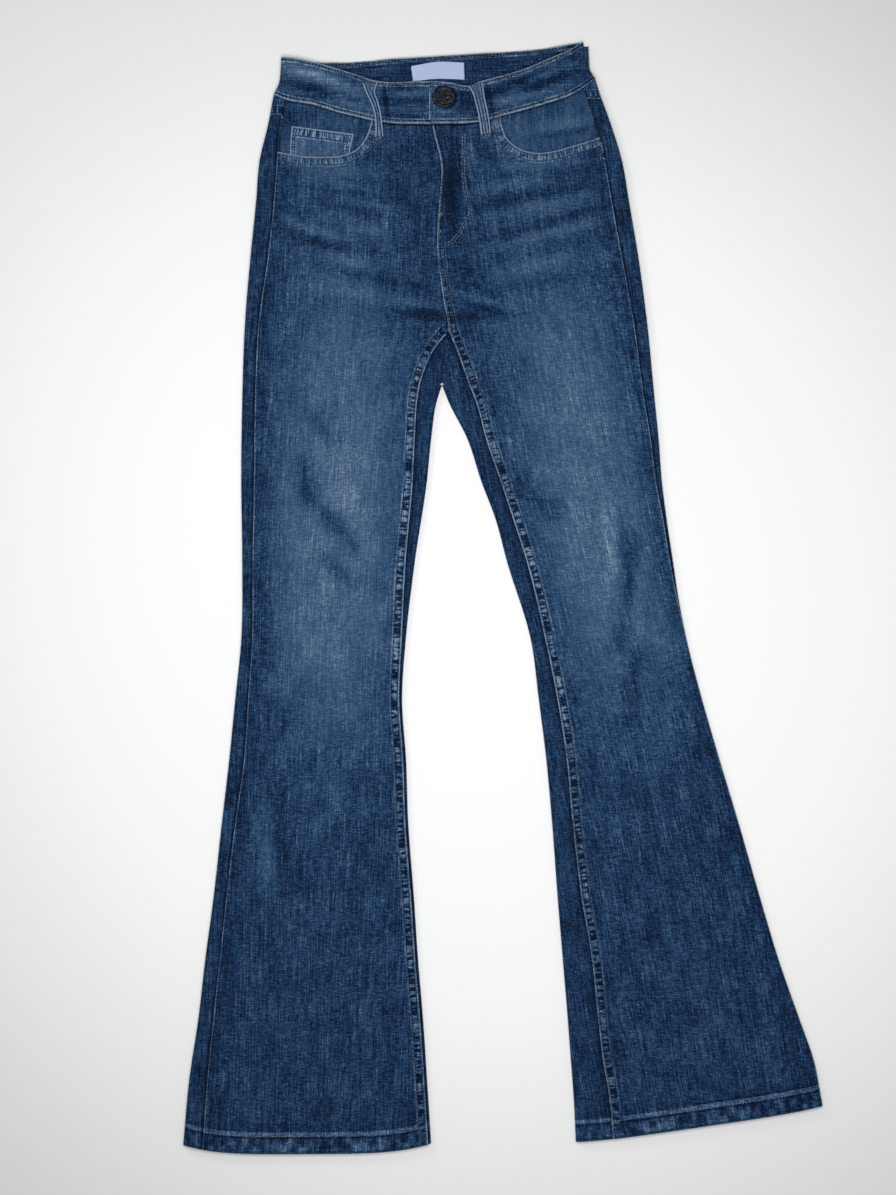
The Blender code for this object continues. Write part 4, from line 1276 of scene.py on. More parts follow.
def build_band():
    columns = 120
    down = np.linspace(0, 1, 20)[:, None]
    stretches = {
        "left": (BAND_SEAM_LEFT - BAND_OVERLAP, UNDERLAP_END_X, lambda x: BAND_PROUD - lap_sink(x)),
        "right": (LAP_END_X, BAND_SEAM_RIGHT + BAND_OVERLAP, lambda x: BAND_PROUD + lap_lift(x)),
    }
    for number, (side, (start, end, change)) in enumerate(stretches.items()):
        x = np.linspace(start, end, columns)[None, :] + 0 * down
        low = read(FRONT_WAIST, 1, x) + SEAM_GAP / 2
        high = read(FRONT_WAIST, 2, x)
        y = low + (high - low) * down
        rolled = 0.45 * np.exp(-((np.minimum(y - low, high - y) / 1.8) ** 2))
        bumps = 0.16 * ripple(x, 3.0, 11 + number) * np.exp(-((np.minimum(y - low, high - y) / 3) ** 2))
        z = top_height(x, y) + BAND_RISE + change(x) + rolled + bumps + ridge_height(BAND_CREASES, x, y)
        if side == "right":
            apart = np.hypot(x - BUTTON_X, y - BUTTON_Y)
            z = z - 0.5 * np.exp(-((apart / 9) ** 4)) + 0.5 * np.exp(-(((apart - 14) / 3.5) ** 2))
            z = z + 0.4 * np.exp(-(((x - start - 2) / 2) ** 2))
        grid = np.stack([x, y, z], axis=-1)
        points, faces = join_grids([grid])
        px, py = points[:, 0], points[:, 1]
        plow = read(FRONT_WAIST, 1, px) + SEAM_GAP / 2
        phigh = read(FRONT_WAIST, 2, px)
        wear_and_shade = (0.46 if side == "left" else 0.37) + 1.3 * patches(BAND_FADES_AND_SHADOWS, px, py)
        numbers = band_marks(px, py, plow, phigh, SEEDS[f"band_{side}"], wear_and_shade)
        if side == "right":
            numbers["edges"][:, 0] = np.minimum(numbers["edges"][:, 0], np.abs(px - start))
            apart = np.hypot(px - BUTTON_X, py - BUTTON_Y)
            # A pale ring worn round the button, and painted shade just outside the button's rim
            ring = 0.20 * np.exp(-(((apart - 14) / 1.8) ** 2)) - 0.34 * np.exp(-(((apart - 11) / 1.8) ** 2))
            numbers["wear_and_shade"] = numbers["wear_and_shade"] + ring
        node = f"waistband_{side}"
        cloth_piece(f"band_{side}_cloth", node, cut_size([grid]), points, faces, numbers, BAND)
    build_back_band()


# Fades and stripes of the band, with painted shadows beside the two front loops
BAND_FADES_AND_SHADOWS = as_table(
    # x, y, half length, half width, turn in degrees, amount
    (-205, 530, 24, 5, -10, 0.16),
    (-180, 520, 34, 5, -10, 0.22),
    (-200, 512, 24, 4, -12, -0.18),
    (-160, 510, 30, 5, -16, 0.14),
    (-170, 500, 34, 4, -14, -0.16),
    (-150, 494, 24, 4, -12, 0.16),
    (-150, 518, 20, 4, -16, -0.12),
    (-98, 496, 26, 26, 0, -0.10),
    # Painted shadows to the right of the two front loops
    (-117, 494, 20, 2.5, 98, -0.34),
    (-13, 496, 20, 2.5, 104, -0.24),
    (-98, 510, 20, 3, 0, -0.16),
    (-98, 504, 22, 3, 0, 0.18),
    (-100, 497, 24, 3, 0, -0.14),
    (-98, 488, 26, 4, 0, 0.10),
    (-98, 481, 24, 3, 0, -0.12),
    (-40, 498, 12, 14, 90, -0.20),
    (-62, 484, 12, 5, 90, 0.10),
    (8, 499, 22, 5, 14, 0.26),
    (2, 510, 26, 5, 16, -0.18),
    (40, 514, 34, 4, 22, -0.24),
    (44, 506, 34, 4, 20, 0.12),
    (50, 528, 28, 4, 22, 0.16),
    (66, 538, 18, 4, 24, -0.12),
    (30, 522, 24, 3, 22, -0.14),
)


def build_back_band():
    radius = FOLD_RADIUS + BAND_RISE / 2
    quarter = np.full((24, 1), radius * math.pi / 2)
    down = np.linspace(0, 1, 24)[:, None]
    left = read(BAND_SIDES, 1, down)
    right = read(BAND_SIDES, 2, down)
    left_arc = arc_of(BAND_SEAM_LEFT - left, radius) - SEAM_GAP
    right_arc = arc_of(right - BAND_SEAM_RIGHT, radius) - SEAM_GAP
    on_left = stops([left_arc, quarter, -quarter], [4, 8])
    inward, rise = fold_place(on_left, radius)
    parts = [(left + inward, rise)]
    x = stops([left + radius, right - radius], [130])[:, 1:]
    parts.append((x, np.full(x.shape, -1.0)))
    on_right = stops([-quarter, quarter, right_arc], [8, 6])[:, 1:]
    inward, rise = fold_place(on_right, radius)
    parts.append((right - inward, rise))
    x = np.concatenate([part[0] for part in parts], axis=1)
    rise = np.concatenate([part[1] for part in parts], axis=1)
    low = waist_edge(1, x, rise) + SEAM_GAP / 2
    high = waist_edge(2, x, rise)
    y = low + (high - low) * down
    z = layer_height(x, y, rise, BAND_RISE)
    grid = np.stack([x, y, z, rise], axis=-1)
    points, faces = join_grids([grid])
    px, py, prise = points[:, 0], points[:, 1], points[:, 3]
    plow = waist_edge(1, px, prise) + SEAM_GAP / 2
    phigh = waist_edge(2, px, prise)
    wear_and_shade = np.where(prise > 0, np.where(px < -60, 0.46, 0.35), 0.27) + 1.3 * patches(BAND_FADES_AND_SHADOWS, px, py)
    numbers = band_marks(px, py, plow, phigh, SEEDS["band_back"], wear_and_shade)
    name, node = "band_back_cloth", "waistband_back"
    cloth_piece(name, node, cut_size([grid]), points, faces, numbers, BAND, False)


def strip_cloth(name, node, route, widths, height_of, thickness, wear_and_shade, upward=True):
    """A narrow strip such as a loop: rolled edges along a route of x, y places, as wide as the table says."""
    middle = along(route, np.linspace(0, 1, 42))
    way = lengths(middle)
    ahead = np.gradient(middle, axis=0)
    ahead /= np.linalg.norm(ahead, axis=1)[:, None]
    aside = np.column_stack([ahead[:, 1], -ahead[:, 0]])
    across = np.linspace(-1, 1, 11)
    width = read(widths, 1, way / way[-1])[:, None]
    place = middle[:, None, :] + aside[:, None, :] * (across[None, :] * width / 2)[..., None]
    x, y = place[..., 0], place[..., 1]
    near = (1 - np.abs(across))[None, :] * width / 2
    bumps = 0.12 * ripple(way, 2.6, 5)[:, None] * np.exp(-((near / 2.2) ** 2))
    rolled = 0.35 * np.exp(-((near / 1.6) ** 2)) + bumps
    z = height_of(x, y, way[:, None] / way[-1], across[None, :]) + (rolled if upward else 0)
    grid = np.stack([x, y, z + 0 * x], axis=-1)
    numbers = {
        "cloth": np.stack([across * width / 2, way[:, None] + 0 * x, np.full(x.shape, 91.0)], axis=-1),
        "strip": np.stack([way[:, None] / 3.5 + 0 * x, near + 0 * x, np.full(x.shape, LOOP_STRIP)], axis=-1),
        "edges": np.stack([near + 0 * x, np.full(x.shape, FAR), np.full(x.shape, 0.9)], axis=-1),
        "wear_and_shade": np.full(x.shape, wear_and_shade),
    }
    faces = grid_faces(*x.shape)
    marks = {}
    for label, values in numbers.items():
        marks[label] = values.reshape(-1, 3) if values.ndim > 2 else values.ravel()
    points = grid.reshape(-1, 3)
    return cloth_piece(name, node, cut_size([grid]), points, faces, marks, thickness, upward)


FRONT_LOOP_WIDTHS = {
    # share of the way down, width
    "belt_loop_front_left": np.array([(0, 15), (0.16, 9), (0.4, 7), (0.65, 6.4), (1, 8)], float),
    "belt_loop_front_right": np.array([(0, 14), (0.2, 11), (0.6, 10), (1, 10)], float),
}


REAR_LOOP_WIDTHS = np.array([(0, LOOP_WIDTH), (1, LOOP_WIDTH)], float)


def lie_flat(x, y, share, across):
    """The height of a rear loop, which lies on the floor."""
    return 0 * x


def build_loops():
    for node, route in FRONT_LOOPS.items():
        right = "right" in node

        def height_of(x, y, share, across, right=right):
            seam = read(FRONT_WAIST, 1, x)
            on_band = smooth_step((y - (seam - 9)) / 7)
            lift = lap_lift(x) if right else 0.0
            arch = 0.9 * np.sin(math.pi * share) ** 2
            twist = 0.5 * across * np.cos(2.2 * math.pi * share)
            return top_height(x, y) + (BAND_RISE + lift) * on_band + LAYER_GAP + LOOP + arch + twist

        width = FRONT_LOOP_WIDTHS[node]
        strip_cloth(f"{node}_cloth", node, route, width, height_of, LOOP, 0.6)
    for node, loop in REAR_LOOPS.items():
        route = ((loop["x"] - loop["lean"], loop["low"]), (loop["x"] + loop["lean"] / 3, loop["high"]))
        strip_cloth(f"{node}_cloth", node, route, REAR_LOOP_WIDTHS, lie_flat, LOOP, 0.4, False)


def plain_numbers(x, y, edges, wear_and_shade, seed, strips=()):
    place = np.column_stack([x, y])
    marks, strength, lift = strip_marks(place, strips)
    edge_marks = np.stack([nearest(place, edges), np.full(len(x), FAR), strength], axis=-1)
    grain = np.stack([x, y, np.full(len(x), seed * 29.0)], axis=-1)
    return {"cloth": grain, "strip": marks, "edges": edge_marks, "wear_and_shade": wear_and_shade}, lift


FACING_TOP_Y = 497.0
FACING_WEAR = {"left": 0.43, "right": 0.48}


def build_facing(side):
    data = SIDES[side]
    down = np.linspace(0, 1, 34)[:, None]
    across = np.linspace(0, 1, 48)[None, :]
    low_outer = read(data["side"], 2, FACING_LOW) + data["inward"] * 0.8
    high_outer = read(data["side"], 2, FACING_TOP_Y) + data["inward"] * 1.2
    outer = low_outer + (high_outer - low_outer) * down
    x = outer + (FACING_INNER[side] - outer) * across
    y = FACING_LOW + (read(FRONT_WAIST, 1, x) - SEAM_GAP - FACING_LOW) * down
    z = top_height(x, y) - FACING_DEPTH + ridge_height(FACING_CREASES, x, y)
    grid = np.stack([x, y, z], axis=-1)
    points, faces = join_grids([grid])
    wear_and_shade = FACING_WEAR[side] + patches(FACING_FADES_AND_SHADE, points[:, 0], points[:, 1])
    numbers, _ = plain_numbers(points[:, 0], points[:, 1], [], wear_and_shade, SEEDS[f"facing_{side}"])
    name, node = f"facing_{side}_cloth", f"pocket_facing_{side}"
    cloth_piece(name, node, cut_size([grid]), points, faces, numbers, THIN)


# Pocket bags: their distance from the outseam, and how far each side draws in at the foot
BAG_INSET = 8
BAG_OUTER_DRAW = 22
BAG_INNER_DRAW = 26


def build_bag(side):
    data = SIDES[side]
    down = np.linspace(0, 1, 30)[:, None]
    across = np.linspace(0, 1, 24)[None, :]
    y = BAG_LOW + (FACING_LOW - SEAM_GAP - BAG_LOW) * down + 0 * across
    outer = read(data["side"], 2, y) + data["inward"] * (BAG_INSET + BAG_OUTER_DRAW * (1 - down) ** 3)
    inner = FACING_INNER[side] - data["inward"] * BAG_INNER_DRAW * (1 - down) ** 3
    x = outer + (inner - outer) * across
    grid = np.stack([x, y, top_height(x, y) - FACING_DEPTH], axis=-1)
    points, faces = join_grids([grid])
    numbers, _ = plain_numbers(points[:, 0], points[:, 1], [], np.full(len(points), 0.5), SEEDS["bag"])
    name, node, slot = f"bag_{side}_cloth", f"pocket_bag_{side}", "pocket_cotton"
    cloth_piece(name, node, cut_size([grid]), points, faces, numbers, THIN, material="pocket cotton")


def build_front_pockets():
    for side in FACING_INNER:
        build_facing(side)
        build_bag(side)
    build_coin_pocket()


FACING_CREASES = as_table(
    # x from, y from, x to, y to, height, half width
    (44, 466, 86, 474, 0.8, 4),
    (46, 461, 88, 469, -0.8, 3),
    (20, 470, 60, 480, 0.4, 5),
    (-150, 470, -135, 476, 0.4, 4),
)
# Fades of the facings, with a dark line painted as shade in the trough of the right facing's crease
FACING_FADES_AND_SHADE = as_table(
    # x, y, half length, half width, turn in degrees, amount
    (60, 474, 40, 6, 10, 0.12),
    (64, 466, 26, 3, 10, -0.22),
    (40, 488, 40, 8, 10, -0.06),
    (-210, 480, 30, 8, 0, -0.14),
    (-145, 468, 14, 10, 60, -0.12),
    (-170, 478, 30, 5, -8, 0.06),
)


def build_coin_pocket():
    rows = np.array(COIN_POCKET, float)
    down = np.linspace(0, 1, 34)
    way = np.array([0, 0.42, 1.0])
    table = np.column_stack([way, rows])
    corner = [read(table, column, down)[:, None] for column in range(1, 5)]
    across = np.linspace(0, 1, 40)[None, :]
    x = corner[0] + (corner[2] - corner[0]) * across
    y = corner[1] + (corner[3] - corner[1]) * across
    hem = np.column_stack([x[-1], y[-1]])
    left = np.column_stack([x[:, 0], y[:, 0]])
    right = np.column_stack([x[:, -1], y[:, -1]])
    z = top_height(x, y) - DENIM - LAYER_GAP
    grid = np.stack([x, y, z], axis=-1)
    points, faces = join_grids([grid])
    wear_and_shade = np.full(len(points), 0.58)
    strips = [(hem, *STITCHED["coin hem"])] + [(line, *STITCHED["coin side"]) for line in (left, right)]
    seed = SEEDS["coin_pocket"]
    numbers, lift = plain_numbers(points[:, 0], points[:, 1], [hem, left, right], wear_and_shade, seed, strips)
    points[:, 2] += lift
    name, node = "coin_pocket_cloth", "coin_pocket"
    cloth_piece(name, node, cut_size([grid]), points, faces, numbers, THIN)


def build_patch_pockets():
    for side, middle in BACK_POCKETS.items():
        down = np.linspace(0, 1, 50)[:, None]
        across = np.linspace(-1, 1, 46)[None, :]
        foot = BACK_POCKET_SIDE + (BACK_POCKET_POINT - BACK_POCKET_SIDE) * (1 - np.abs(across))
        half = (BACK_POCKET_WIDTH + (BACK_POCKET_FOOT - BACK_POCKET_WIDTH) * down) / 2
        x = middle + half * across
        y = BACK_POCKET_TOP - foot * down
        grid = np.stack([x, y, 0 * x], axis=-1)
        border = np.concatenate([grid[0, :, :2], grid[:, -1, :2], grid[-1, ::-1, :2], grid[::-1, 0, :2]])
        points, faces = join_grids([grid])
        wear_and_shade = 0.42 + patches(BACK_FADES, points[:, 0], points[:, 1])
        strips = [(border, *STITCHED["patch"])]
        numbers, _ = plain_numbers(points[:, 0], points[:, 1], [border], wear_and_shade, SEEDS["patch_pocket"], strips)
        name, node = f"patch_pocket_{side}_cloth", f"back_pocket_{side}"
        cloth_piece(name, node, cut_size([grid]), points, faces, numbers, DENIM, False)


FLY_TOP_Y = 472.5


def build_fly():
    below_lap = LAP_DROP + DENIM + LAYER_GAP
    parts = (
        ("fly_shield_cloth", "fly_shield", SHIELD_LOW_Y, -2, SHIELD_WIDTH, below_lap, "denim_back", "denim"),
        ("zip_tape", "zip", ZIP_LOW_Y, ZIP_FROM_EDGE, ZIP_WIDTH, DENIM + LAYER_GAP, "zip_tape", "zip tape"),
    )
    for name, node, low_y, start, width, depth, slot, material in parts:
        across = np.linspace(0, 1, 14)[None, :]
        y = np.linspace(low_y, FLY_TOP_Y, 60)[:, None] + 0 * across
        x = read(CENTRE, 1, y) + start + width * across
        z = top_height(x, y) - depth
        grid = np.stack([x, y, z], axis=-1)
        points, faces = join_grids([grid])
        numbers, _ = plain_numbers(points[:, 0], points[:, 1], [], np.full(len(points), 0.3), SEEDS["fly"])
        cloth_piece(name, node, cut_size([grid]), points, faces, numbers, THIN, True, material)


def build_label():
    corners = np.array(LABEL_OUTLINE, float)
    across = np.linspace(0, 1, 40)
    top = along(corners[:3], across)
    low = along(corners[[5, 4, 3]], across)
    down = np.linspace(0, 1, 20)[:, None, None]
    flat = low[None] + (top - low)[None] * down
    wave = 0.25 * np.sin(across * math.pi * 2.2)[None, :]
    z = LOOP_RAISE + BAND + LAYER_GAP + THIN + wave + 0 * flat[..., 0]
    grid = np.concatenate([flat, z[..., None]], axis=-1)
    points, faces = join_grids([grid])
    border = np.concatenate([top, low[::-1], top[:1]])
    wear_and_shade = np.full(len(points), 0.5)
    numbers, _ = plain_numbers(points[:, 0], points[:, 1], [border], wear_and_shade, SEEDS["label"])
    cloth_piece(
        "label_cloth", "waist_label", cut_size([grid]), points, faces, numbers, THIN,
        material="label satin",
    )


BUTTON_TURN = (
    # share of the radius, height: the cap's dished middle, its ridges and rim, and the shank
    (0.0, 2.55),
    (0.14, 2.5),
    (0.3, 2.35),
    (0.42, 2.3),
    (0.5, 2.45),
    (0.56, 2.6),
    (0.62, 2.45),
    (0.7, 2.35),
    (0.78, 2.6),
    (0.86, 2.9),
    (0.93, 2.85),
    (0.98, 2.5),
    (1.0, 2.0),
    (0.99, 1.5),
    (0.93, 1.15),
    (0.6, 0.95),
    (0.42, 0.8),
    (0.4, 0.0),
)


def build_button():
    low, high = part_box("button")
    around = 72
    angles = np.linspace(0, 2 * math.pi, around, endpoint=False)
    profile = along(np.array(BUTTON_TURN), np.linspace(0, 1, 70))
    radius = profile[:, 0:1] * BUTTON_RADIUS
    leaf = 0.22 * np.cos(5 * angles)[None, :] * np.exp(-(((profile[:, 0:1] - 0.3) / 0.14) ** 2))
    x = BUTTON_X + radius * np.cos(angles)[None, :]
    y = BUTTON_Y + radius * np.sin(angles)[None, :]
    z = low.z / MM + profile[:, 1:2] + leaf * (profile[:, 1:2] > 1.6)
    points = np.stack([x, y, z], axis=-1).reshape(-1, 3)
    index = np.arange(len(profile) * around).reshape(len(profile), around)
    after = np.roll(index, -1, axis=1)
    quads = (index[:-1], index[1:], after[1:], after[:-1])
    faces = np.stack([corner.ravel() for corner in quads], axis=1)
    faces = [list(face) for face in faces.tolist() if len(set(face)) > 2] + [index[-1].tolist()]
    mesh = bpy.data.meshes.new("metal_button")
    mesh.from_pydata((points * MM).tolist(), [], faces)
    mesh.validate()
    mesh.shade_smooth()
    mesh.materials.append(finish_of("antique metal"))
    button = bpy.data.objects.new("metal_button", mesh)
    bpy.context.scene.collection.objects.link(button)
    ride_as(button, "button")


# Stitching: each run is a line of points, moved sideways from a seam


def offset_line(line, aside, start=0.0, end=1.0, spacing=1.5):
    """A line moved to its left by a distance, between two shares of its length."""
    way = lengths(line)
    table = np.column_stack([way, line])
    count = max(int(way[-1] * (end - start) / spacing), 2)
    at = np.linspace(way[-1] * start, way[-1] * end, count)
    place = np.column_stack([np.interp(at, way, table[:, 1]), np.interp(at, way, table[:, 2])])
    ahead = np.gradient(place, axis=0)
    for _ in range(4):
        ahead[1:-1] = (ahead[:-2] + 2 * ahead[1:-1] + ahead[2:]) / 4
    ahead /= np.maximum(np.linalg.norm(ahead, axis=1), 1e-9)[:, None]
    return place + np.column_stack([-ahead[:, 1], ahead[:, 0]]) * aside


# Stitches: how high above the cloth the search for it starts, in metres, and the step that one may bridge
RAY_START = 0.05
STEEPEST = 1.2

# Shape of a stitch: share of its length, share of the thread's radius, and height, as a share of that radius
STITCH_SHAPE = ((-0.5, 0.35, -0.1), (-0.28, 0.95, 0.5), (0.28, 0.95, 0.5), (0.5, 0.35, -0.1))
STITCH_SIDES = 6


def stitch_thread(name, lines, cloths, above=True, dull=0):
    """One mesh of stitches along lines, each a short rounded bar on the cloth. The first ones can be dull."""
    sizes = bpy.context.scene.jeans_thread
    graph = bpy.context.evaluated_depsgraph_get()
    trees = [BVHTree.FromObject(bpy.data.objects[cloth], graph) for cloth in cloths]
    direction = Vector((0, 0, -1 if above else 1))
    from_z = RAY_START if above else -RAY_START
    length, gap = sizes.stitch_length / MM, sizes.stitch_gap / MM
    radius = sizes.thickness / 2 / MM

    def surface(x, y):
        found = [tree.ray_cast(Vector((x * MM, y * MM, from_z)), direction)[0] for tree in trees]
        heights = [place.z / MM for place in found if place is not None]
        if not heights:
            return None
        return max(heights) if above else min(heights)

    up = 1 if above else -1
    ring = np.linspace(0, 2 * math.pi, STITCH_SIDES, endpoint=False)
    last_ring = (len(STITCH_SHAPE) - 1) * STITCH_SIDES
    points = []
    faces = []
    tones = []
    random = np.random.default_rng(5)
    for number, line in enumerate(lines):
        way = lengths(line)
        shine = 0.25 if number < dull else 1.0
        for begin in np.arange(0.3, way[-1] - length, length + gap):
            ends = []
            for at in (begin, begin + length):
                x = float(np.interp(at, way, line[:, 0]))
                y = float(np.interp(at, way, line[:, 1]))
                z = surface(x, y)
                if z is None:
                    break
                ends.append(np.array([x, y, z]))
            if len(ends) < 2 or abs(ends[0][2] - ends[1][2]) > STEEPEST:
                continue
            ahead = ends[1] - ends[0]
            size = np.linalg.norm(ahead)
            ahead = ahead / size
            aside = np.cross(ahead, (0, 0, 1))
            aside /= np.linalg.norm(aside)
            over = np.cross(aside, ahead)
            middle = (ends[0] + ends[1]) / 2
            first = len(points)
            wobble = random.uniform(-0.15, 0.15)
            for part, swell, height in STITCH_SHAPE:
                centre = middle + ahead * part * size + over * up * height * radius + aside * wobble
                for turn in ring:
                    out = aside * math.cos(turn) + over * 0.75 * math.sin(turn)
                    points.append(centre + radius * swell * out)
            for begin_ring in range(first, first + last_ring, STITCH_SIDES):
                for corner in range(STITCH_SIDES):
                    low = begin_ring + corner
                    high = begin_ring + (corner + 1) % STITCH_SIDES
                    faces.append([low, high, high + STITCH_SIDES, low + STITCH_SIDES])
            faces.append([first + corner for corner in reversed(range(STITCH_SIDES))])
            faces.append([first + last_ring + corner for corner in range(STITCH_SIDES)])
            tones += [random.uniform(0, 1) * shine] * (last_ring + STITCH_SIDES)
    mesh = bpy.data.meshes.new(name)
    mesh.from_pydata((np.array(points) * MM).tolist(), [], faces)
    mesh.shade_smooth()
    attribute = mesh.attributes.new("tone", "FLOAT", "POINT")
    attribute.data.foreach_set("value", np.array(tones, np.float32))
    mesh.materials.append(finish_of("pale thread"))
    thread = bpy.data.objects.new(name, mesh)
    bpy.context.scene.collection.objects.link(thread)
    ride_as(thread, None)
    return thread


def band_edges(waist, x):
    """The two rows of stitches along a stretch of band: just above its seam and just below its top edge."""
    return [np.column_stack([x, read(waist, column, x) + change]) for column, change in ((1, 2.4), (2, -2.6))]


def build_stitching():
    fly = along(np.array(FLY_STITCH, float), np.linspace(0, 1, 90))
    dull_lines = []
    front_lines = [fly, offset_line(fly, 2.6)]
    for side, seams in SEAMS.items():
        turn = 1 if side == "left" else -1
        dull_lines.append(offset_line(seams["inseam"], turn * INSEAM_STRIP))
        dull_lines.append(offset_line(seams["inseam"], turn * 1.6))
        front_lines.append(offset_line(seams["mouth"], -turn * 1.4))
        front_lines.append(offset_line(seams["mouth"], -turn * (MOUTH_STRIP - 1)))
        front_lines.append(offset_line(seams["hem"], turn * (HEM_STRIP + 0.2)))
    centre = SEAMS["right"]["centre"]
    dull_lines += [offset_line(centre, -2.0, 0.02, 0.98), offset_line(centre, -6.0, 0.02, 0.42)]
    cloths = ["front_left_cloth", "front_right_cloth"]
    stitch_thread("front_thread", dull_lines + front_lines, cloths, dull=len(dull_lines))
    band_lines = []
    for start, end in ((BAND_SEAM_LEFT, LAP_END_X - 2), (LAP_END_X + 2, BAND_SEAM_RIGHT)):
        band_lines += band_edges(FRONT_WAIST, np.linspace(start, end, 60))
    y = np.linspace(477, 514, 20)
    band_lines += [np.column_stack([np.full(20, LAP_END_X + inset), y]) for inset in (2.2, 5)]
    x = np.linspace(-180, 60, 80)
    band_lines.append(band_edges(BACK_WAIST, x)[1])
    build_bartacks()
    build_under_stitching(x)
    cloths = ["band_left_cloth", "band_right_cloth", "band_back_cloth"]
    stitch_thread("band_thread", band_lines, cloths)


# Bars of close stitches: x from, y from, x to, y to, of the first stitch row, and the step to the next
BARTACKS = (
    (-129, 464, -118, 466, 0.2, -1.6),
    (-128, 461, -119, 463, 0.2, -1.4),
    (-23, 466, -12, 469, 0.3, -1.6),
    (-22, 462, -11, 465, 0.3, -1.4),
    (-12, 470, -3, 476, 0.8, -1.4),
    (-222, 440, -218, 446, 1.6, 0.0),
    (91, 450, 96, 454, -0.5, 1.4),
    (42, 444, 44, 450, 1.0, 0.0),
    (-63, 384, -58, 386, 0.0, -1.2),
    (-64, 367, -59, 368, 0.0, -1.2),
)


def build_bartacks():
    lines = []
    for from_x, from_y, to_x, to_y, step_x, step_y in BARTACKS:
        for row in range(3):
            offset = (row * step_x, row * step_y)
            lines.append(np.array([(from_x, from_y), (to_x, to_y)], float) + offset)
    cloths = ["front_left_cloth", "front_right_cloth"] + [f"{loop}_cloth" for loop in FRONT_LOOPS]
    stitch_thread("bartack_thread", lines, cloths)


def build_under_stitching(x):
    """Rows of stitches on the underside: patch pockets, yoke seams, the band and the hems."""
    lines = band_edges(BACK_WAIST, x)
    cloths = ["band_back_cloth"]
    for side in SIDES:
        middle = BACK_POCKETS[side]
        half, foot = BACK_POCKET_WIDTH / 2, BACK_POCKET_FOOT / 2
        low = BACK_POCKET_TOP - BACK_POCKET_SIDE
        outline = as_table(
            (middle - half, BACK_POCKET_TOP),
            (middle - foot, low),
            (middle, BACK_POCKET_TOP - BACK_POCKET_POINT),
            (middle + foot, low),
            (middle + half, BACK_POCKET_TOP),
        )
        lines += [offset_line(outline, 1.6), offset_line(outline, 7.0)]
        top = outline[[0, -1]] - (0, 12)
        lines.append(offset_line(top, 0.0, 0.02, 0.98))
        seam = yoke(side, np.array([0.0, 1.0]))[0, BACK_CELLS["strip"] + BACK_CELLS["fold"] :, :2]
        lines += [seam[::3] + (0, 1.6), seam[::3] + (0, 7.0)]
        cloths += [f"patch_pocket_{side}_cloth", f"yoke_{side}_cloth", f"back_{side}_cloth"]
        under_start = BACK_CELLS["strip"] + BACK_CELLS["fold"]
        places = back_leg(side, leg_shares(3.0)[:1])[0, under_start:BACK_FORK_START, :2]
        lines.append(places + (0, HEM_STRIP + 0.2))
    stitch_thread("back_thread", lines, cloths, False)


# Finishes


def srgb(red, green, blue):
    """A colour given in 0 to 255 as the eye sees it, as linear red, green and blue."""
    shares = (red / 255, green / 255, blue / 255)
    return tuple(value / 12.92 if value <= 0.04045 else ((value + 0.055) / 1.055) ** 2.4 for value in shares)


class Board:
    """Adds nodes to one node tree, with their inputs set or linked."""

    def __init__(self, tree):
        self.tree = tree

    def node(self, kind, inputs=None, **settings):
        made = self.tree.nodes.new(kind)
        for name, value in settings.items():
            setattr(made, name, value)
        for key, value in (inputs or {}).items():
            if isinstance(value, bpy.types.NodeSocket):
                self.tree.links.new(value, made.inputs[key])
            else:
                made.inputs[key].default_value = value
        return made

    def math(self, operation, first, second=0.0, clamp=False):
        node = self.node("ShaderNodeMath", {0: first, 1: second}, operation=operation, use_clamp=clamp)
        return node.outputs[0]

    def plus(self, first, second, clamp=False):
        return self.math("ADD", first, second, clamp)

    def minus(self, first, second):
        return self.math("SUBTRACT", first, second)

    def times(self, first, second):
        return self.math("MULTIPLY", first, second)

    def fit(self, value, low, high, to_low=0.0, to_high=1.0):
        """The value from one range taken to another, smoothly and held at both ends."""
        inputs = {"Value": value, "From Min": low, "From Max": high, "To Min": to_low, "To Max": to_high}
        return self.node("ShaderNodeMapRange", inputs, interpolation_type="SMOOTHSTEP").outputs["Result"]

    def noise(self, place, stretch, detail=1.0):
        scaled = self.node("ShaderNodeVectorMath", {0: place, 1: stretch}, operation="MULTIPLY").outputs[0]
        noise = self.node("ShaderNodeTexNoise", {"Vector": scaled, "Scale": 1.0, "Detail": detail})
        return noise.outputs["Fac"]

    def ramp(self, value, colours):
        node = self.node("ShaderNodeValToRGB", {"Fac": value})
        elements = node.color_ramp.elements
        while len(elements) < len(colours):
            elements.new(0.5)
        for element, (place, colour) in zip(elements, colours):
            element.position = place
            element.color = (*colour, 1)
        return node.outputs["Color"]

    def mix(self, share, first, second):
        node = self.node("ShaderNodeMix", {0: share}, data_type="RGBA")
        for key, value in ((6, first), (7, second)):
            if isinstance(value, bpy.types.NodeSocket):
                self.tree.links.new(value, node.inputs[key])
            else:
                node.inputs[key].default_value = (*value, 1)
        return node.outputs[2]


def new_group(name, inputs, outputs):
    tree = bpy.data.node_groups.new(name, "ShaderNodeTree")
    for label, kind, default in inputs:
        socket = tree.interface.new_socket(label, in_out="INPUT", socket_type=kind)
        if default is not None:
            socket.default_value = default
    for label, kind in outputs:
        tree.interface.new_socket(label, in_out="OUTPUT", socket_type=kind)
    board = Board(tree)
    return tree, board, board.node("NodeGroupInput").outputs, board.node("NodeGroupOutput").inputs


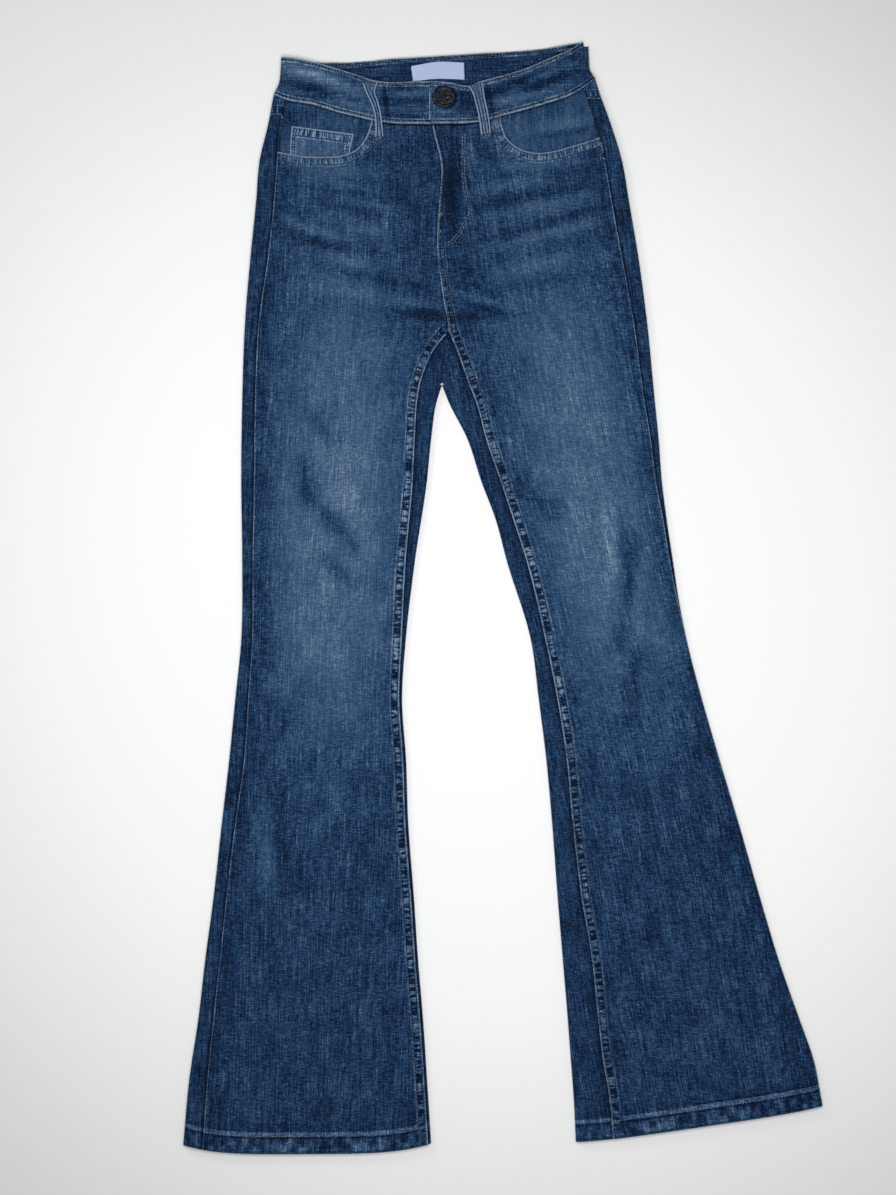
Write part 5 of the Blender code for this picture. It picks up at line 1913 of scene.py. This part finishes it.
def weave_group():
    """Streaky denim: long warp streaks, short weft ripples, specks and slow clouds, and their relief."""
    name = "denim weave"
    if name in bpy.data.node_groups:
        return bpy.data.node_groups[name]
    tree, board, given, out = new_group(
        name,
        [
            ("Cloth", "NodeSocketVector", None),
            ("Streaks", "NodeSocketFloat", 1.0),
            ("Specks", "NodeSocketFloat", 1.0),
        ],
        [("Shade", "NodeSocketFloat"), ("Height", "NodeSocketFloat")],
    )
    cloth = given["Cloth"]

    def wave(stretch, gain, detail=1.0):
        noise = board.noise(cloth, stretch, detail)
        return noise, board.times(board.minus(noise, 0.5), gain)

    long_noise, long_streaks = wave((0.8, 0.028, 1.0), 0.78, 2.0)
    _, short_streaks = wave((1.15, 0.13, 1.3), 0.52)
    weft_noise, weft = wave((0.18, 0.95, 2.1), 0.68)
    speck_noise, specks = wave((1.05, 1.05, 3.1), 0.85, 1.0)
    _, clouds = wave((0.05, 0.03, 4.3), 0.36, 2.0)
    slubs = board.fit(board.noise(cloth, (0.9, 0.012, 5.9), 0.0), 0.58, 0.76, 0.0, 0.1)
    streaks = board.plus(slubs, board.plus(long_streaks, short_streaks))
    streaks = board.times(streaks, given["Streaks"])
    fine = board.times(board.plus(weft, specks), given["Specks"])
    shade = board.plus(board.plus(streaks, fine), clouds)
    board.tree.links.new(shade, out["Shade"])
    slant = board.node("ShaderNodeVectorMath", {0: cloth, 1: (0.5, 0.5, 0.0)}, operation="MULTIPLY")
    twill_inputs = {"Vector": slant.outputs[0], "Scale": 1.0, "Distortion": 0.6}
    twill = board.node("ShaderNodeTexWave", twill_inputs, bands_direction="DIAGONAL")
    twill_height = board.times(twill.outputs["Fac"], 0.25)
    relief = board.plus(twill_height, board.times(weft_noise, 0.5))
    relief = board.plus(relief, board.times(speck_noise, 0.6))
    relief = board.plus(relief, board.times(long_noise, 0.5))
    board.tree.links.new(relief, out["Height"])
    return tree


def pucker_group():
    """Stitched strips: a pale turned edge, puckers along it, a dark and a pale line where it ends, a painted
    shadow above a hem, and painted shade beside lapped seams.
    """
    name = "seam puckers"
    if name in bpy.data.node_groups:
        return bpy.data.node_groups[name]
    tree, board, given, out = new_group(
        name,
        [
            ("Strip", "NodeSocketVector", None),
            ("Edges", "NodeSocketVector", None),
            ("Pale edge", "NodeSocketFloat", 0.6),
            ("Puckers", "NodeSocketFloat", 0.55),
        ],
        [("Shade", "NodeSocketFloat"), ("Height", "NodeSocketFloat")],
    )
    strip = board.node("ShaderNodeSeparateXYZ", {0: given["Strip"]}).outputs
    edges = board.node("ShaderNodeSeparateXYZ", {0: given["Edges"]}).outputs
    amount = edges["Z"]
    across = board.times(strip["Y"], 0.07)
    place = board.node("ShaderNodeCombineXYZ", {"X": strip["X"], "Y": across}).outputs[0]
    blobs = board.noise(place, (2.0, 1.0, 1.0), 1.0)
    worn = board.noise(place, (0.6, 0.1, 5.0), 2.0)
    past = board.minus(strip["Y"], strip["Z"])
    inside = board.times(board.fit(past, -1.2, 0.0, 1.0, 0.0), board.fit(strip["Y"], 1.0, 2.2))
    wide = board.fit(strip["Z"], 10.0, 17.0)
    low = board.minus(0.4, board.times(wide, 0.1))
    high = board.plus(0.57, board.times(wide, 0.14))
    swing = board.minus(1.0, board.times(wide, 0.3))
    pattern = board.times(board.fit(blobs, low, high, -0.65, 0.7), given["Puckers"])
    pattern = board.times(pattern, swing)
    shade = board.times(pattern, inside)
    broken = board.math("MAXIMUM", board.fit(worn, 0.3, 0.6, 0.5, 1.0), board.times(wide, 0.95))
    dark_reach = board.plus(0.75, board.times(wide, 0.75))
    dark_way = board.plus(past, board.plus(0.3, board.times(wide, 1.2)))
    dark_way = board.math("DIVIDE", board.math("ABSOLUTE", dark_way), dark_reach)
    dark_line = board.fit(dark_way, 0.2, 1.2, -0.3, 0.0)
    pale_reach = board.plus(0.85, board.times(wide, 1.5))
    pale_way = board.minus(past, board.plus(1.0, board.times(wide, 1.4)))
    pale_way = board.math("DIVIDE", board.math("ABSOLUTE", pale_way), pale_reach)
    pale_line = board.fit(pale_way, 0.4, 1.15, 0.32, 0.0)
    shadow_way = board.math("ABSOLUTE", board.minus(past, 6.0))
    shadow = board.times(board.fit(shadow_way, 0.3, 2.2, -0.2, 0.0), wide)
    inner_line = board.fit(board.math("ABSOLUTE", board.minus(strip["Y"], 2.3)), 0.2, 0.9, -0.2, 0.0)
    lines = board.plus(board.times(pale_line, broken), board.plus(dark_line, inner_line))
    lines = board.plus(lines, shadow)
    shade = board.times(board.plus(shade, lines), amount)
    edge_light = board.times(board.fit(edges["X"], 0.6, 1.7, 1.0, 0.0), given["Pale edge"])
    edge_light = board.times(edge_light, board.fit(worn, 0.3, 0.7, 0.85, 1.1))
    # Painted shade beside seams that another piece laps over, from the second number of the edges
    painted_seam_shade = board.fit(edges["Y"], 0.2, 3.0, -0.34, 0.0)
    total = board.plus(shade, board.plus(edge_light, painted_seam_shade))
    board.tree.links.new(total, out["Shade"])
    height = board.times(board.times(blobs, inside), amount)
    board.tree.links.new(height, out["Height"])
    return tree


def new_finish(name):
    material = bpy.data.materials.new(name)
    material.use_nodes = True
    tree = material.node_tree
    tree.nodes.clear()
    board = Board(tree)
    shader = board.node("ShaderNodeBsdfPrincipled")
    board.node("ShaderNodeOutputMaterial", {"Surface": shader.outputs[0]})
    return material, board, shader


def set_shader(board, shader, values):
    for key, value in values.items():
        if isinstance(value, bpy.types.NodeSocket):
            board.tree.links.new(value, shader.inputs[key])
        else:
            shader.inputs[key].default_value = value


def bump(board, height, distance, strength=1.0):
    inputs = {"Height": height, "Distance": distance, "Strength": strength}
    return board.node("ShaderNodeBump", inputs).outputs[0]


def attribute(board, name, vector=False):
    return board.node("ShaderNodeAttribute", attribute_name=name).outputs["Vector" if vector else "Fac"]


def denim_finish():
    colours = bpy.context.scene.jeans_colours
    material, board, shader = new_finish("denim")
    cloth = attribute(board, "cloth", True)
    strip = attribute(board, "strip", True)
    edges = attribute(board, "edges", True)
    weave = board.node("ShaderNodeGroup", node_tree=weave_group())
    board.tree.links.new(cloth, weave.inputs["Cloth"])
    seam = board.node("ShaderNodeGroup", node_tree=pucker_group())
    board.tree.links.new(strip, seam.inputs["Strip"])
    board.tree.links.new(edges, seam.inputs["Edges"])
    # This attribute holds the cloth's fading together with painted shade
    wear_and_shade = attribute(board, "wear_and_shade")
    swing = board.fit(wear_and_shade, 0.3, 0.62, 1.2, 0.74)
    tone = board.plus(wear_and_shade, board.times(weave.outputs["Shade"], swing))
    tone = board.plus(tone, seam.outputs["Shade"], True)
    base = board.ramp(tone, (
        (0.0, tuple(colours.deep)),
        (0.2, srgb(17, 38, 68)),
        (0.4, srgb(31, 60, 94)),
        (0.6, srgb(52, 79, 110)),
        (0.8, srgb(79, 103, 130)),
        (1.0, tuple(colours.faded)),
    ))
    height = board.plus(weave.outputs["Height"], board.times(seam.outputs["Height"], 1.5))
    set_shader(board, shader, {
        "Base Color": base,
        "Roughness": board.fit(tone, 0.0, 1.0, 0.82, 0.95),
        "Normal": bump(board, height, 0.0005, 0.7),
        "Specular IOR Level": 0.06,
        "Sheen Weight": 0.01,
        "Sheen Roughness": 0.5,
    })
    return material


def thread_finish():
    colours = bpy.context.scene.jeans_colours
    material, board, shader = new_finish("pale thread")
    tone = attribute(board, "tone")
    geometry = board.node("ShaderNodeNewGeometry").outputs["Position"]
    strands = board.noise(geometry, (2600.0, 2600.0, 2600.0))
    shade = board.fit(board.plus(tone, board.times(strands, 0.5)), 0.1, 1.3)
    set_shader(board, shader, {
        "Base Color": board.mix(shade, tuple(colours.thread_dark), tuple(colours.thread_light)),
        "Roughness": 0.7,
        "Normal": bump(board, strands, 0.0001),
    })
    return material


def cotton_finish(name, colour, sheen, threads):
    """A plain woven cloth such as pocket cotton, tape or satin, with a fine over-and-under weave."""
    material, board, shader = new_finish(name)
    cloth = attribute(board, "cloth", True)
    warp = board.noise(cloth, (threads, threads * 0.12, 1.0))
    weft = board.noise(cloth, (threads * 0.12, threads, 2.0))
    weave = board.plus(warp, weft)
    shade = board.fit(weave, 0.6, 1.4, 0.0, 1.0)
    darker = tuple(value * 0.86 for value in colour)
    set_shader(board, shader, {
        "Base Color": board.mix(shade, darker, colour),
        "Roughness": board.fit(weave, 0.6, 1.4, 0.55, 0.75),
        "Normal": bump(board, weave, 0.0002),
        "Sheen Weight": sheen,
    })
    return material


def metal_finish():
    colours = bpy.context.scene.jeans_colours
    material, board, shader = new_finish("antique metal")
    place = board.node("ShaderNodeNewGeometry").outputs["Position"]
    stains = board.noise(place, (320.0, 320.0, 320.0), 3.0)
    grain = board.noise(place, (2500.0, 2500.0, 2500.0), 2.0)
    worn = board.fit(board.plus(stains, board.times(grain, 0.3)), 0.55, 0.85)
    set_shader(board, shader, {
        "Base Color": board.mix(worn, tuple(colours.metal_dark), tuple(colours.metal)),
        "Metallic": board.fit(worn, 0.0, 1.0, 0.8, 1.0),
        "Roughness": board.fit(stains, 0.3, 0.7, 0.5, 0.3),
        "Normal": bump(board, grain, 0.0002),
    })
    return material


def finish_of(name):
    """The finish of that name, made once."""
    if name not in bpy.data.materials:
        colours = bpy.context.scene.jeans_colours
        makers = {
            "denim": denim_finish,
            "pale thread": thread_finish,
            "pocket cotton": lambda: cotton_finish("pocket cotton", tuple(colours.cotton), 0.2, 1.6),
            "zip tape": lambda: cotton_finish("zip tape", tuple(colours.tape), 0.1, 2.0),
            "label satin": lambda: cotton_finish("label satin", tuple(colours.label), 0.3, 2.4),
            "antique metal": metal_finish,
            "floor": floor_finish,
        }
        made = makers[name]()
        made.name = name
    return bpy.data.materials[name]


def floor_finish():
    stage = bpy.context.scene.jeans_stage
    material, board, shader = new_finish("floor")
    place = board.node("ShaderNodeNewGeometry").outputs["Position"]
    grain = board.noise(place, (900.0, 900.0, 900.0))
    colour = tuple(stage.floor_colour)
    # The floor is painted darker away from a point 20 mm towards the hems, as the falloff of the light
    darker = tuple(value * stage.painted_falloff_share for value in colour)
    middle = board.node("ShaderNodeVectorMath", {0: place, 1: (0.0, 0.02, 0.0)}, operation="ADD").outputs[0]
    apart = board.node("ShaderNodeVectorMath", {0: middle}, operation="LENGTH").outputs["Value"]
    set_shader(board, shader, {
        "Base Color": board.mix(board.fit(apart, 0.34, 0.95), colour, darker),
        "Roughness": board.fit(grain, 0.2, 0.8, 0.75, 0.85),
        "Normal": bump(board, grain, 0.0001, 0.3),
    })
    return material


# Stage, in metres
FLOOR_HALF = 8.0
FLOOR_DROP = 0.0003
CAMERA_X = -0.055
CAMERA_Y = 0.0005
SENSOR_WIDTH = 36.0


def build_stage():
    stage = bpy.context.scene.jeans_stage
    mesh = bpy.data.meshes.new("floor")
    half = FLOOR_HALF
    corners = [(-half, -half, 0), (half, -half, 0), (half, half, 0), (-half, half, 0)]
    mesh.from_pydata(corners, [], [(0, 1, 2, 3)])
    mesh.materials.append(finish_of("floor"))
    floor = bpy.data.objects.new("floor", mesh)
    floor.location.z = -FLOOR_DROP
    bpy.context.scene.collection.objects.link(floor)
    world = bpy.data.worlds.new("studio")
    world.use_nodes = True
    background = world.node_tree.nodes["Background"]
    background.inputs["Color"].default_value = (*stage.world_colour, 1)
    background.inputs["Strength"].default_value = stage.world_strength
    bpy.context.scene.world = world
    lights = (
        # name, place, size, power
        ("soft box", (0.0, -0.05, 1.35), 0.8, stage.key_power),
        ("side box", (-1.0, 0.9, 0.9), 0.4, stage.side_power),
    )
    for name, place, size, power in lights:
        lamp = bpy.data.lights.new(name, "AREA")
        lamp.size = size
        lamp.energy = power
        light = bpy.data.objects.new(name, lamp)
        light.location = place
        light.rotation_euler = (-Vector(place)).to_track_quat("-Z", "Y").to_euler()
        light.visible_camera = False
        bpy.context.scene.collection.objects.link(light)
    camera = bpy.data.cameras.new("camera")
    camera.sensor_width = SENSOR_WIDTH
    camera.lens = camera.sensor_width * (stage.camera_height - LEG_HEIGHT * MM) / stage.view_length
    eye = bpy.data.objects.new("camera", camera)
    eye.location = (CAMERA_X, CAMERA_Y, stage.camera_height)
    bpy.context.scene.collection.objects.link(eye)
    bpy.context.scene.camera = eye
    bpy.context.scene.view_settings.view_transform = "Standard"


# Settings that a user would change


class JeansCloth(PropertyGroup):
    spacing: FloatProperty(
        name="Cloth spacing",
        description="Distance between points of the cloth along the legs",
        default=0.003,
        min=0.002,
        unit="LENGTH",
    )
    crease_strength: FloatProperty(
        name="Crease strength",
        description="How deep the creases of the front are",
        default=1.8,
        soft_max=3,
        subtype="FACTOR",
    )


def setting(label, use, default, unit="NONE"):
    return FloatProperty(name=label, description=use, default=default, unit=unit)


def colour_setting(label, use, colour):
    return FloatVectorProperty(
        name=label, description=use, default=colour, size=3, min=0, max=1, subtype="COLOR"
    )


class JeansThread(PropertyGroup):
    stitch_length: setting("Stitch length", "Length of one stitch", 0.0024, "LENGTH")
    stitch_gap: setting("Stitch gap", "Cloth between two stitches", 0.0009, "LENGTH")
    thickness: setting("Thread thickness", "Thickness of the topstitching thread", 0.0007, "LENGTH")


class JeansColours(PropertyGroup):
    faded: colour_setting("Faded blue", "Where the denim is worn palest", srgb(128, 147, 170))
    deep: colour_setting("Deep blue", "Where the denim keeps all its dye", srgb(6, 19, 40))
    thread_light: colour_setting("Pale thread", "The brightest stitches", srgb(136, 142, 148))
    thread_dark: colour_setting("Dull thread", "The darkest stitches", srgb(54, 68, 88))
    cotton: colour_setting("Pocket cotton", "The pocket bags inside", srgb(196, 198, 200))
    tape: colour_setting("Zip tape", "The tape behind the fly", srgb(24, 34, 54))
    label: colour_setting("Label", "The bare label in the waist", srgb(176, 190, 226))
    metal: colour_setting("Metal", "The worn high spots of the button", srgb(60, 60, 60))
    metal_dark: colour_setting("Dark metal", "The patina in the button's hollows", srgb(10, 17, 27))


class JeansStage(PropertyGroup):
    floor_colour: colour_setting("Floor", "The plain pale floor", (0.885, 0.885, 0.888))
    # How bright the floor is painted far out, against its middle: a painted falloff of the light
    painted_falloff_share: setting("Rim share", "Brightness far out against the middle", 0.78)
    world_colour: colour_setting("Surroundings", "Light from all round", (1.0, 1.0, 1.0))
    world_strength: setting("Surrounding light", "Strength of the light all round", 0.24)
    key_power: setting("Soft box", "Power of the light above", 16.6, "POWER")
    side_power: setting("Side box", "Power of the light at the side", 4.2, "POWER")
    camera_height: setting("Camera height", "Above the floor", 2.4, "LENGTH")
    view_length: setting("View length", "Long side of the view", 1.195, "LENGTH")


# Operators, one for each piece or group of like pieces


class JEANS_OT_fronts(Operator):
    """Build both fronts with their seams, hems, pocket mouths and creases"""

    bl_idname = "jeans.fronts"
    bl_label = "Fronts"

    def execute(self, context):
        for side in SIDES:
            build_front(side)
        return {"FINISHED"}


class JEANS_OT_backs(Operator):
    """Build both backs, their yokes and their patch pockets"""

    bl_idname = "jeans.backs"
    bl_label = "Backs"

    def execute(self, context):
        for side in SIDES:
            build_back(side)
            build_yoke(side)
        build_patch_pockets()
        return {"FINISHED"}


class JEANS_OT_waistband(Operator):
    """Build the three stretches of the waistband"""

    bl_idname = "jeans.waistband"
    bl_label = "Waistband"

    def execute(self, context):
        build_band()
        return {"FINISHED"}


class JEANS_OT_belt_loops(Operator):
    """Build the five belt loops"""

    bl_idname = "jeans.belt_loops"
    bl_label = "Belt loops"

    def execute(self, context):
        build_loops()
        return {"FINISHED"}


class JEANS_OT_front_pockets(Operator):
    """Build the facings, the coin pocket and the bags"""

    bl_idname = "jeans.front_pockets"
    bl_label = "Front pockets"

    def execute(self, context):
        build_front_pockets()
        return {"FINISHED"}


class JEANS_OT_fly(Operator):
    """Build the shield and the zip behind the fly"""

    bl_idname = "jeans.fly"
    bl_label = "Fly"

    def execute(self, context):
        build_fly()
        return {"FINISHED"}


class JEANS_OT_label(Operator):
    """Build the bare label inside the waist"""

    bl_idname = "jeans.label"
    bl_label = "Label"

    def execute(self, context):
        build_label()
        return {"FINISHED"}


class JEANS_OT_button(Operator):
    """Build the metal button"""

    bl_idname = "jeans.button"
    bl_label = "Button"

    def execute(self, context):
        build_button()
        return {"FINISHED"}


class JEANS_OT_stitching(Operator):
    """Lay the rows of stitches on the finished cloth"""

    bl_idname = "jeans.stitching"
    bl_label = "Stitching"

    def execute(self, context):
        build_stitching()
        return {"FINISHED"}


class JEANS_OT_stage(Operator):
    """Build the floor, the lights and the camera"""

    bl_idname = "jeans.stage"
    bl_label = "Stage"

    def execute(self, context):
        build_stage()
        return {"FINISHED"}


SETTINGS = {
    "jeans_cloth": JeansCloth,
    "jeans_thread": JeansThread,
    "jeans_colours": JeansColours,
    "jeans_stage": JeansStage,
}
OPERATORS = (
    JEANS_OT_stage,
    JEANS_OT_fronts,
    JEANS_OT_backs,
    JEANS_OT_waistband,
    JEANS_OT_belt_loops,
    JEANS_OT_front_pockets,
    JEANS_OT_fly,
    JEANS_OT_label,
    JEANS_OT_button,
    JEANS_OT_stitching,
)


class JEANS_PT_panel(Panel):
    """Settings and steps of the jeans"""

    bl_idname = "JEANS_PT_panel"
    bl_label = "Jeans"
    bl_space_type = "VIEW_3D"
    bl_region_type = "UI"
    bl_category = "Jeans"

    def draw(self, context):
        for name, group in SETTINGS.items():
            box = self.layout.box()
            for setting in group.__annotations__:
                box.prop(getattr(context.scene, name), setting)
        for operator in OPERATORS:
            self.layout.operator(operator.bl_idname)


def register():
    for group in SETTINGS.values():
        bpy.utils.register_class(group)
    for name, group in SETTINGS.items():
        setattr(bpy.types.Scene, name, PointerProperty(type=group))
    for operator in OPERATORS:
        bpy.utils.register_class(operator)
    bpy.utils.register_class(JEANS_PT_panel)


def unregister():
    bpy.utils.unregister_class(JEANS_PT_panel)
    for operator in reversed(OPERATORS):
        bpy.utils.unregister_class(operator)
    for name, group in SETTINGS.items():
        delattr(bpy.types.Scene, name)
        bpy.utils.unregister_class(group)


def main():
    register()
    for operator in OPERATORS:
        group, name = operator.bl_idname.split(".")
        getattr(getattr(bpy.ops, group), name)()
    bpy.context.view_layer.update()


if __name__ == "__main__":
    main()
